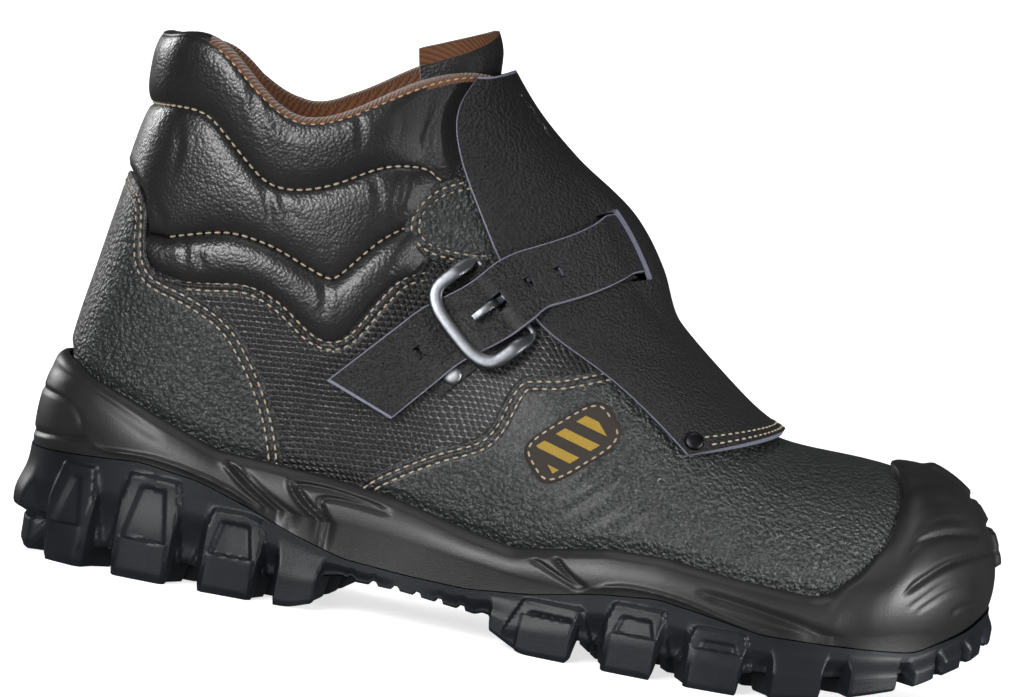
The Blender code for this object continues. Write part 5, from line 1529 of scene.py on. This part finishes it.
arch_angle = np.linspace(84.0, -82.0, 120)
arch_turn = np.abs(arch_angle)
arch_high = np.interp(arch_turn, [0.0, 30.0, 90.0], [6.35, 6.4, 5.1])
arch_low = np.interp(arch_turn, [0.0, 30.0, 90.0], [5.0, 4.95, 3.55])
arch_row = arch_high[:, None] + (arch_low - arch_high)[:, None] * (strap_across / STRAP_WIDTH + 0.5)
over = FLAP_THICK + 0.65 + STRAP_THICK / 2.0
under = -(0.95 + STRAP_THICK / 2.0)
arch_gap = under + (over - under) * ease(arch_angle, 14.0, 38.0)
arch_grid_angle = np.broadcast_to(arch_angle[:, None], arch_row.shape)
arch_normal = flap_normal(arch_row, arch_grid_angle)
arch_point = flap_point(arch_row, arch_grid_angle) + arch_normal * arch_gap[:, None, None]

anchor_along = np.linspace(172.0, 143.0, 26)[:, None]
anchor_point, anchor_normal = on_strap(anchor_along, STRAP_CENTRE + strap_across, "medial")
strap_middle = np.concatenate([free_point + free_normal * free_lift[:, :, None], arch_point,
                               anchor_point + anchor_normal * 1.9])
strap_facing = unit(soften(np.concatenate([free_normal, arch_normal, anchor_normal]), 9))
strap_middle = clear_of(soften(strap_middle, 9), SKIN, SKIN_OUT, STRAP_THICK / 2.0 + 1.0, 4.0, 2)

print("strap rows:", len(strap_middle), "from the free end to the inner side")

# %% [markdown]
# A punch cuts slots with wider ends, and one square hole where the prong comes up. A quad whose middle lies
# inside the outline of a hole is left out. Quads along the cut edges take the bare finish of the edge.

# %% Strap holes
HOLES = ((141.7, "slot"), (170.6, "square"), (181.4, "slot"), (190.7, "slot"))
strap_along = strap_middle[:, :, 0] * strap_dir[0] + strap_middle[:, :, 2] * strap_dir[1]
strap_along = (strap_along[:-1, :-1] + strap_along[1:, 1:]) / 2.0
strap_place = np.broadcast_to((strap_across[:-1] + strap_across[1:]) / 2.0, strap_along.shape)
on_show = np.arange(len(strap_along))[:, None] < len(free_along) + 45
strap_keep = np.ones(strap_along.shape, bool)
for hole, kind in HOLES:
    off = np.abs(strap_along - hole)
    aside = np.abs(strap_place)
    if kind == "square":
        punched = (off < 2.2) & (aside < 2.4)
    else:
        punched = (off < 0.7) & (aside < 2.3) | (off < 1.4) & (aside > 1.5) & (aside < 2.3)
    strap_keep &= ~(punched & on_show)
strap_half = strap_facing * STRAP_THICK / 2.0
strap_run = 0.65 * np.arange(len(strap_middle))[:, None]
strap_map = np.stack(np.broadcast_arrays(strap_run, strap_across), -1) * MM
strap_trim = np.zeros(strap_keep.shape, bool)
strap_trim[:, [0, -1]] = True
strap_trim[0] = True
strap = slab("strap_hide", strap_middle + strap_half, strap_middle - strap_half, strap_facing,
             [STRAP_HIDE, CUT_EDGE], strap_keep, strap_map, trim=strap_trim)
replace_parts(strap, "strap")
print("quads punched out of the strap:", int((~strap_keep).sum()))

# %% [markdown]
# The buckle is a horseshoe of satin steel with a straight hinge bar under the strap, and a short prong that
# comes up through a hole. Both are a rounded section carried along a path in the buckle's own flat frame.

# %% Buckle
BUCKLE_ALONG = 163.0
HINGE_ALONG = 172.6
HINGE_HEIGHT = 3.4
BAR_HEIGHT = 8.0
BAR_RADIUS = 1.0
FRAME_REACH = 20.0
FRAME_HALF = 15.0
FRAME_BAR = (2.2, 1.1)
PRONG_REACH = 12.6


def strap_seat(along, across):
    """Return the point and the normal of the upper at one place along and across the strap."""
    return [grid[0] for grid in on_strap([along], [across])]


buckle_origin, buckle_out = strap_seat(BUCKLE_ALONG, STRAP_CENTRE - 1.0)
buckle_along = np.array([strap_dir[0], 0.0, strap_dir[1]])
buckle_along = unit(buckle_along - buckle_out * np.dot(buckle_along, buckle_out))
buckle_across = np.cross(buckle_along, buckle_out)
buckle_across = buckle_across * np.sign(buckle_across[0])


def in_buckle(along, across, out):
    """Return points from places along the strap, across it and out from the leather."""
    along, across, out = np.broadcast_arrays(along, across, out)
    return (buckle_origin + along[:, None] * buckle_along + across[:, None] * buckle_across
            + out[:, None] * buckle_out)


def bar(name, path, across, outward, wide, thick, finish, closed):
    """A squarish round section, |cos|^0.7 by |sin|^0.7, carried along a path."""
    turn = np.linspace(0.0, 2.0 * np.pi, 19)
    ring = np.stack([np.cos(turn), np.sin(turn)], 1)
    ring = np.sign(ring) * np.abs(ring) ** 0.7
    points = (path[:, None] + ring[None, :, :1] * (across * np.reshape(wide, (-1, 1)))[:, None]
              + ring[None, :, 1:] * (outward * np.reshape(thick, (-1, 1)))[:, None])
    if closed:
        points = np.concatenate([points, points[:1]])
    else:
        first, last = (np.repeat(end[:, None], len(turn), 1) for end in (path[:1], path[-1:]))
        points = np.concatenate([first, points, last])
    centre = points.mean(1, keepdims=True)
    return sheet(name, points, points - centre, finish, None, 60.0)


hinge = HINGE_ALONG - BUCKLE_ALONG
reach = FRAME_REACH - FRAME_HALF * 0.62
turn = np.radians(np.linspace(90.0, -90.0, 61))
bow_along = hinge - reach - 0.62 * FRAME_HALF * np.abs(np.cos(turn)) ** 0.62
bow_across = FRAME_HALF * np.sign(np.sin(turn)) * np.abs(np.sin(turn)) ** 0.62
leg = np.linspace(0.0, 1.0, 14)[:-1]
frame_along = np.concatenate([np.full(20, hinge), hinge - reach * leg, bow_along, hinge - reach * leg[:0:-1]])
frame_across = np.concatenate([np.linspace(-FRAME_HALF, FRAME_HALF, 21)[:-1], np.full(13, FRAME_HALF),
                               bow_across, np.full(12, -FRAME_HALF)])
frame_out = HINGE_HEIGHT + (BAR_HEIGHT - HINGE_HEIGHT) * ease(hinge - frame_along, -1.0, reach * 0.8)
frame_path = in_buckle(frame_along, frame_across, frame_out)
frame_path = (np.roll(frame_path, 1, 0) + 2.0 * frame_path + np.roll(frame_path, -1, 0)) / 4.0
frame_slope = unit(np.roll(frame_path, -1, 0) - np.roll(frame_path, 1, 0))
frame_side = unit(np.cross(frame_slope, buckle_out))
frame_up = unit(np.cross(frame_side, frame_slope))
slim = ease(hinge - frame_along, 0.3, 4.0)
frame_wide, frame_thick = (BAR_RADIUS + (size - BAR_RADIUS) * slim for size in FRAME_BAR)
buckle = bar("buckle_horseshoe", frame_path, frame_side, frame_up, frame_wide, frame_thick, STEEL, True)
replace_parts(buckle, "buckle_frame")

hook = np.radians(np.linspace(-150.0, 120.0, 24))
hook_radius = BAR_RADIUS + 0.5 + 0.6
prong_reach = np.array([2.6, 3.9, 4.8, 6.4, 9.5, PRONG_REACH])
prong_along = np.concatenate([hinge + hook_radius * np.cos(hook), hinge - prong_reach])
prong_out = np.concatenate([HINGE_HEIGHT + hook_radius * np.sin(hook), [5.6, 6.4, 8.6, 10.0, 10.4, 10.0]])
prong_path = curve(in_buckle(prong_along, np.zeros(len(prong_along)), prong_out), 60)
prong_slope = unit(np.gradient(prong_path, axis=0))
prong_side = np.repeat(buckle_across[None], len(prong_path), 0)
prong_up = unit(np.cross(prong_side, prong_slope))
prong = bar("buckle_tongue", prong_path, prong_side, prong_up, 1.35, 0.6, STEEL, False)
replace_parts(prong, "buckle_prong")

# %% [markdown]
# Rivets are pressed caps: two small bright ones hold the tab under the strap, and two black ones the flap's
# corners. A cap is turned about the normal of the leather it sits on.

# %% Rivets
RIVET_RADIUS = 3.0


def dome(node, centre, axis, tall, finish):
    """A cap of revolution: radius times cos and height times sin of an angle from rim to crown."""
    axis = unit(axis)
    first = unit(np.cross(axis, np.array([0.3, 0.2, 0.9])))
    second = np.cross(axis, first)
    turn = np.linspace(0.0, 2.0 * np.pi, 33)
    climb = np.linspace(0.0, np.pi / 2.0, 8)
    size = np.concatenate([[0.0, 1.0], np.cos(climb) ** 0.7])
    lift = np.concatenate([[0.0, 0.0], 0.3 + 0.7 * np.sin(climb)])
    circle = np.cos(turn)[:, None] * first + np.sin(turn)[:, None] * second
    points = centre + circle[:, None] * (RIVET_RADIUS * size)[:, None] + axis * (tall * lift)[:, None]
    made = sheet(node + "_dome", points, points - (centre + axis * 0.3 * tall), finish, None, 50.0)
    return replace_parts(made, node)


for node, angle in (("flap_rivet_lateral", 80.0), ("flap_rivet_medial", -80.0)):
    seat = np.argmin(np.abs(flap_rows - 0.32)), np.argmin(np.abs(flap_angles - angle))
    dome(node, flap_over[seat] + flap_facing[seat] * 0.1, flap_facing[seat], 1.2, BLACK_METAL)
for node, shift in (("tab_rivet_1", 9.2), ("tab_rivet_2", -9.2)):
    seat, seat_normal = strap_seat(145.0, 34.0 + shift)
    dome(node, seat + seat_normal * 1.6, seat_normal, 1.1, RIVET_METAL)

# %% [markdown]
# A small sewn patch sits on the vamp. It is kept plain: a rounded shape with a few slanted stripes.

# %% Patch on the vamp
PATCH_CENTRE = (169.4, 65.8)
PATCH_TILT = 41.0
PATCH_HALF = (15.0, 8.0)


def striped_patch():
    """Dark woven patch with four slanted yellow stripes in its middle."""
    finish = Finish("striped_patch", (0.02, 0.018, 0.016), 0.7, Specular_IOR_Level=0.3)
    along, across, _ = finish.parts(finish.place("UV"))
    weave = finish.noise(2600.0, 2.0)
    stripe = ((along + across * 0.35) * 13.0).sine().over(0.1)
    inside = (0.62 - across.size()).over(0.0) * (0.66 - along.size()).over(0.0)
    finish.bump(weave * 0.6 + stripe * inside * 0.4, 0.0003)
    yellow = finish.mix(weave, (0.17, 0.105, 0.012), (0.32, 0.21, 0.026))
    dark = finish.mix(weave, (0.010, 0.009, 0.008), (0.035, 0.026, 0.020))
    return finish.feed(Base_Color=finish.mix(stripe * inside, dark, yellow))


def round_outline(turn):
    """Return a rounded rectangle, |cos|^0.5 by |sin|^0.5, at angles."""
    ring = np.stack([np.cos(turn), np.sin(turn)], -1)
    return np.sign(ring) * np.abs(ring) ** 0.5


tilt = np.radians(PATCH_TILT)
patch_axes = np.array([[np.cos(tilt), np.sin(tilt)], [-np.sin(tilt), np.cos(tilt)]])
outline = round_outline(np.linspace(0.0, 2.0 * np.pi, 121))
PATCH_REACH = np.concatenate([np.linspace(0.0, 0.9, 14), [0.94, 0.97, 1.0]])
PATCH_SEAM = 13
patch_local = outline[:, None, :] * PATCH_REACH[:, None]
patch_flat = np.array(PATCH_CENTRE) + (patch_local * np.array(PATCH_HALF)) @ patch_axes
patch_base, patch_normal = on_side(patch_flat[:, :, 0], patch_flat[:, :, 1])
patch_lift = PANEL + 1.0 - 0.5 * ease(PATCH_REACH, 0.93, 1.0)
patch_points = patch_base + patch_normal * patch_lift[:, None]
patch_points = np.concatenate([patch_points, (patch_base + patch_normal * 0.3)[:, -1:]], 1)
patch_facing, patch_map = (np.concatenate([grid, grid[:, -1:]], 1) for grid in (patch_normal, patch_local))
patch_piece = sheet("vamp_patch", patch_points, patch_facing, striped_patch(), patch_map)

# %% [markdown]
# Stitches are small bars of thread, each a half round that dives into the leather at both ends. One bar is
# worked out once and laid along a line at even steps. The lines run inside the panels' edges, found by moving
# the edge sideways on the last.

# %% Stitches
STITCH_PITCH = 2.9
STITCH_LONG = 2.1
STITCH_WIDE = 0.68
STITCH_TALL = 0.42
STITCH_SINK = 0.10
FLAP_SEAMS = (0.16, 0.34)


def inset_line(ring, share, distance, lift):
    """Return a line moved `distance` down the last from a line, lifted off the surface, and its normals."""
    for _ in range(2):
        here, normal = on_wall(ring, share)
        by_ring = (on_wall(ring + 0.01, share)[0] - on_wall(ring - 0.01, share)[0]) / 0.02
        by_share = (on_wall(ring, share + 0.002)[0] - on_wall(ring, share - 0.002)[0]) / 0.004
        down = unit(np.cross(normal, np.gradient(here, axis=0)))
        down = down * -np.sign(np.sum(down * by_share)) * distance / 2.0
        slopes = np.stack([by_ring, by_share], 1)
        step = np.linalg.solve(slopes @ np.swapaxes(slopes, 1, 2), slopes @ down[:, :, None])[:, :, 0]
        ring = (ring + step[:, 0]) % RING
        share = np.clip(share + step[:, 1], 0.0, 1.0)
    line, normal = on_wall(ring, share)
    return line + normal * np.reshape(lift, (-1, 1)), normal


def stitch_bars(line, normal):
    """Return points and quads of bars along a line: length times u by width times cos by height times sin."""
    run = run_of(line)
    at = np.arange(0.6 * STITCH_PITCH, run[-1] - 0.5 * STITCH_PITCH, STITCH_PITCH)
    centre = read_off(at, run, line)
    up = unit(read_off(at, run, normal))
    ahead = unit(read_off(at + 0.6, run, line) - read_off(at - 0.6, run, line))
    aside = unit(np.cross(up, ahead))
    u, turn = np.meshgrid(np.linspace(-1.0, 1.0, 6), np.linspace(0.0, np.pi, 5), indexing="ij")
    taper = np.sqrt(np.clip(1.0 - np.abs(u) ** 3 * 0.92, 0.0, 1.0))
    local = np.stack([u * STITCH_LONG / 2.0, np.cos(turn) * taper * STITCH_WIDE / 2.0,
                      np.sin(turn) * taper * STITCH_TALL - STITCH_SINK - 0.25 * u ** 4], -1).reshape(-1, 3)
    points = (centre[:, None] + local[None, :, :1] * ahead[:, None] + local[None, :, 1:2] * aside[:, None]
              + local[None, :, 2:] * up[:, None])
    quads = quads_of(np.arange(u.size).reshape(u.shape))[None] + u.size * np.arange(len(at))[:, None, None]
    quads = quads.reshape(-1, 4)
    return points.reshape(-1, 3), face_out(quads, points, np.repeat(up, u.size, 0))


def stitching(name, rows, finish=CREAM):
    """Make one piece from all the stitches along a group of lines."""
    points, quads, count = [], [], 0
    for line, normal in rows:
        bar_points, bar_quads = stitch_bars(line, normal)
        points.append(bar_points)
        quads.append(bar_quads + count)
        count += len(bar_points)
    made = make_mesh(name, np.concatenate(points), np.concatenate(quads), [finish], None, None, 60.0)
    return made


def double_rows(ring, share, lift):
    """Return two stitch lines inside an edge."""
    return [inset_line(ring, share, distance, lift) for distance in STITCH_IN]


heel_seam_lift = PANEL - 0.3 + heel_over[:, -1]
stitching("heel_stitches", double_rows(heel_ring, heel_share[:, -1], heel_seam_lift))
seen = (QUARTER_TOP.ring > 1.3) & (QUARTER_TOP.ring < 4.6)
for name, ring, share, lift in (("quarter_stitches", QUARTER_TOP.ring[seen], QUARTER_TOP.share[seen], -0.1),
                                ("vamp_stitches", VAMP_EDGE.ring, VAMP_EDGE.share, PANEL - 0.3)):
    stitching(name, double_rows(ring, share, lift) + double_rows(RING - ring, share, lift))
rows = []
for side in ("lateral", "medial"):
    for distance in STITCH_IN:
        flat = patch_line + unit(np.array(PATCH_MIDDLE) - patch_line) * distance
        line, normal = on_side(flat[:, 0], flat[:, 1], side)
        rows.append((line + normal * (PANEL + 0.2), normal))
stitching("facing_stitches", rows)
rows = []
for seam in (COLLAR_LOW, COLLAR_HIGH):
    shown = (seam.share > HEEL_EDGE.at(seam.ring) + 0.01) & (seam.ring < 5.1)
    for ring in (seam.ring[shown], RING - seam.ring[shown]):
        line, normal = on_wall(ring, seam.share[shown])
        rows.append((line - normal * 0.2, normal))
stitching("collar_stitches", rows)
rows = []
seam_angles = np.linspace(74.0, -74.0, 140)
for row in FLAP_SEAMS:
    place = np.argmin(np.abs(flap_rows - row))
    line, normal = (read_off(-seam_angles, -flap_angles, grid[place]) for grid in (flap_over, flap_facing))
    rows.append((line, unit(normal)))
stitching("flap_stitches", rows)
patch_seam = (patch_base + patch_normal * (PANEL + 1.0))[:, PATCH_SEAM]
stitching("patch_stitches", [(patch_seam, patch_normal[:, PATCH_SEAM])])
brown = bind_points[:, 2, 0] > BINDING_START
rows = [(bind_points[part, 2], unit(bind_points[part, 2] - bind_centre[part]))
        for part in (brown & (bind_ring < TOE), brown & (bind_ring > TOE))]
stitching("binding_stitches", rows, TAN)

# %% [markdown]
# Two packed parts are small or hidden and keep their own shapes: the footbed and the tab under the strap.

# %% Carried parts
for node, finish in (("insole", FOOTBED), ("buckle_tab", STRAP_HIDE)):
    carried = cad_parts[node]
    carried.data.materials.clear()
    carried.data.materials.append(finish)

# %% [markdown]
# The stage is a white sheet that curves up far behind the shoe and glows a little, as a lit table does. A
# soft light stands high at the camera's left, where the rolls and the grain catch it, with a weak low one
# beside it. A narrow beam from beyond the toe lights the guard and the vamp and stays off the collar. One
# light behind the heel rounds the back, and a weak one overhead keeps the upper faces dark, so that the
# leather reads black.

# %% Stage
def studio_white():
    """Matt white paper with a very faint tone, that glows more the farther it is from the shoe."""
    finish = Finish("studio_white", (0.9, 0.9, 0.9), 0.9, Specular_IOR_Level=0.1, Emission_Strength=1.0)
    along, away, rise = finish.parts(finish.place("Object"))
    far = ((along * along + away * away + rise * rise) * 0.06 - 0.1).held()
    return finish.feed(Base_Color=finish.mix(finish.noise(6.0), (0.88, 0.88, 0.88), (0.92, 0.92, 0.92)),
                       Emission_Color=finish.mix(far, (0.7, 0.7, 0.7), (0.97, 0.97, 0.97)))


bend = np.linspace(0.0, np.pi / 2.0, 16)
profile = np.stack([4.0 + 2.0 * np.sin(bend), 2.0 - 2.0 * np.cos(bend)], 1)
profile = np.concatenate([[[-8.0, 0.0]], profile, [[6.0, 9.0]]])
wide = np.broadcast_to(np.array([-9.0, 9.0])[:, None, None], (2, len(profile), 1))
sweep = np.concatenate([wide, np.broadcast_to(profile, (2,) + profile.shape)], 2)
sweep_quads = quads_of(np.arange(2 * len(profile)).reshape(2, -1))
backdrop_mesh = bpy.data.meshes.new("backdrop")
backdrop_mesh.from_pydata(sweep.reshape(-1, 3).tolist(), [], sweep_quads.tolist())
backdrop_mesh.materials.append(studio_white())
backdrop_mesh.shade_smooth()
backdrop = bpy.data.objects.new("backdrop", backdrop_mesh)
bpy.context.scene.collection.objects.link(backdrop)
backdrop.visible_glossy = False


def add_light(name, kind, place, target, **settings):
    """Add a light that faces a target, with the settings of its kind."""
    lamp = bpy.data.lights.new(name, kind)
    for setting, value in settings.items():
        setattr(lamp, setting, value)
    made = bpy.data.objects.new(name, lamp)
    made.location = place
    made.rotation_mode = "QUATERNION"
    made.rotation_quaternion = (Vector(target) - Vector(place)).to_track_quat("-Z", "Y")
    bpy.context.scene.collection.objects.link(made)


for name, place, target, wide, tall, power in (
        ("front_left", (-0.75, -1.85, 0.80), (-0.02, 0.0, 0.08), 0.7, 0.6, 39.0),
        ("front_low", (-0.30, -2.10, 0.30), (-0.04, 0.0, 0.06), 0.6, 0.3, 5.0),
        ("overhead", (0.0, -0.2, 1.6), (0.0, 0.0, 0.1), 0.8, 0.6, 4.0),
        ("back_left", (-1.6, 1.5, 0.55), (-0.05, 0.0, 0.09), 0.6, 0.6, 14.0)):
    add_light(name, "AREA", place, target, shape="RECTANGLE", size=wide, size_y=tall, energy=power)
add_light("front_right", "SPOT", (1.68, -0.86, 0.30), (0.11, -0.01, 0.04), energy=150.0,
          shadow_soft_size=0.08, spot_size=np.radians(8.0), spot_blend=0.6)
world = bpy.data.worlds.new("studio")
world.use_nodes = True
world.node_tree.nodes["Background"].inputs["Color"].default_value = (1.0, 1.0, 1.0, 1.0)
world.node_tree.nodes["Background"].inputs["Strength"].default_value = 0.05
bpy.context.scene.world = world

# %% [markdown]
# The camera looks at the outer side from a little above and is rolled, so the toe points down to the right.

# %% Camera
ROLL_SINE = 0.1805
ELEVATION = np.radians(4.0)
AIM = np.array([-0.0101, -0.044, 0.0916])
DISTANCE = 1.575
look = np.array([0.0, np.cos(ELEVATION), -np.sin(ELEVATION)])
level_up = np.array([0.0, np.sin(ELEVATION), np.cos(ELEVATION)])
roll_cosine = np.sqrt(1.0 - ROLL_SINE ** 2)
right = np.array([roll_cosine, 0.0, 0.0]) + ROLL_SINE * level_up
upward = np.array([-ROLL_SINE, 0.0, 0.0]) + roll_cosine * level_up
lens = bpy.data.cameras.new("camera")
lens.lens = 180.0
lens.sensor_width = 36.0
lens.clip_start, lens.clip_end = 0.05, 50.0
camera = bpy.data.objects.new("camera", lens)
turned = np.eye(4)
turned[:3, :4] = np.column_stack([right, upward, -look, AIM - look * DISTANCE])
camera.matrix_world = Matrix(turned.tolist())
bpy.context.scene.collection.objects.link(camera)
bpy.context.scene.camera = camera
bpy.context.scene.view_settings.view_transform = "Standard"
print("camera at", np.round(AIM - look * DISTANCE, 3).tolist())

# %% [markdown]
# The shown pieces should differ from the packed parts by a few millimetres only, because the panels and the
# rubber are finer than the parts they cover. Last, the triangles of all the pieces are counted.

# %% Triangle count
print("triangles in all:", sum(len(face.vertices) - 2 for piece in PIECES for face in piece.data.polygons))
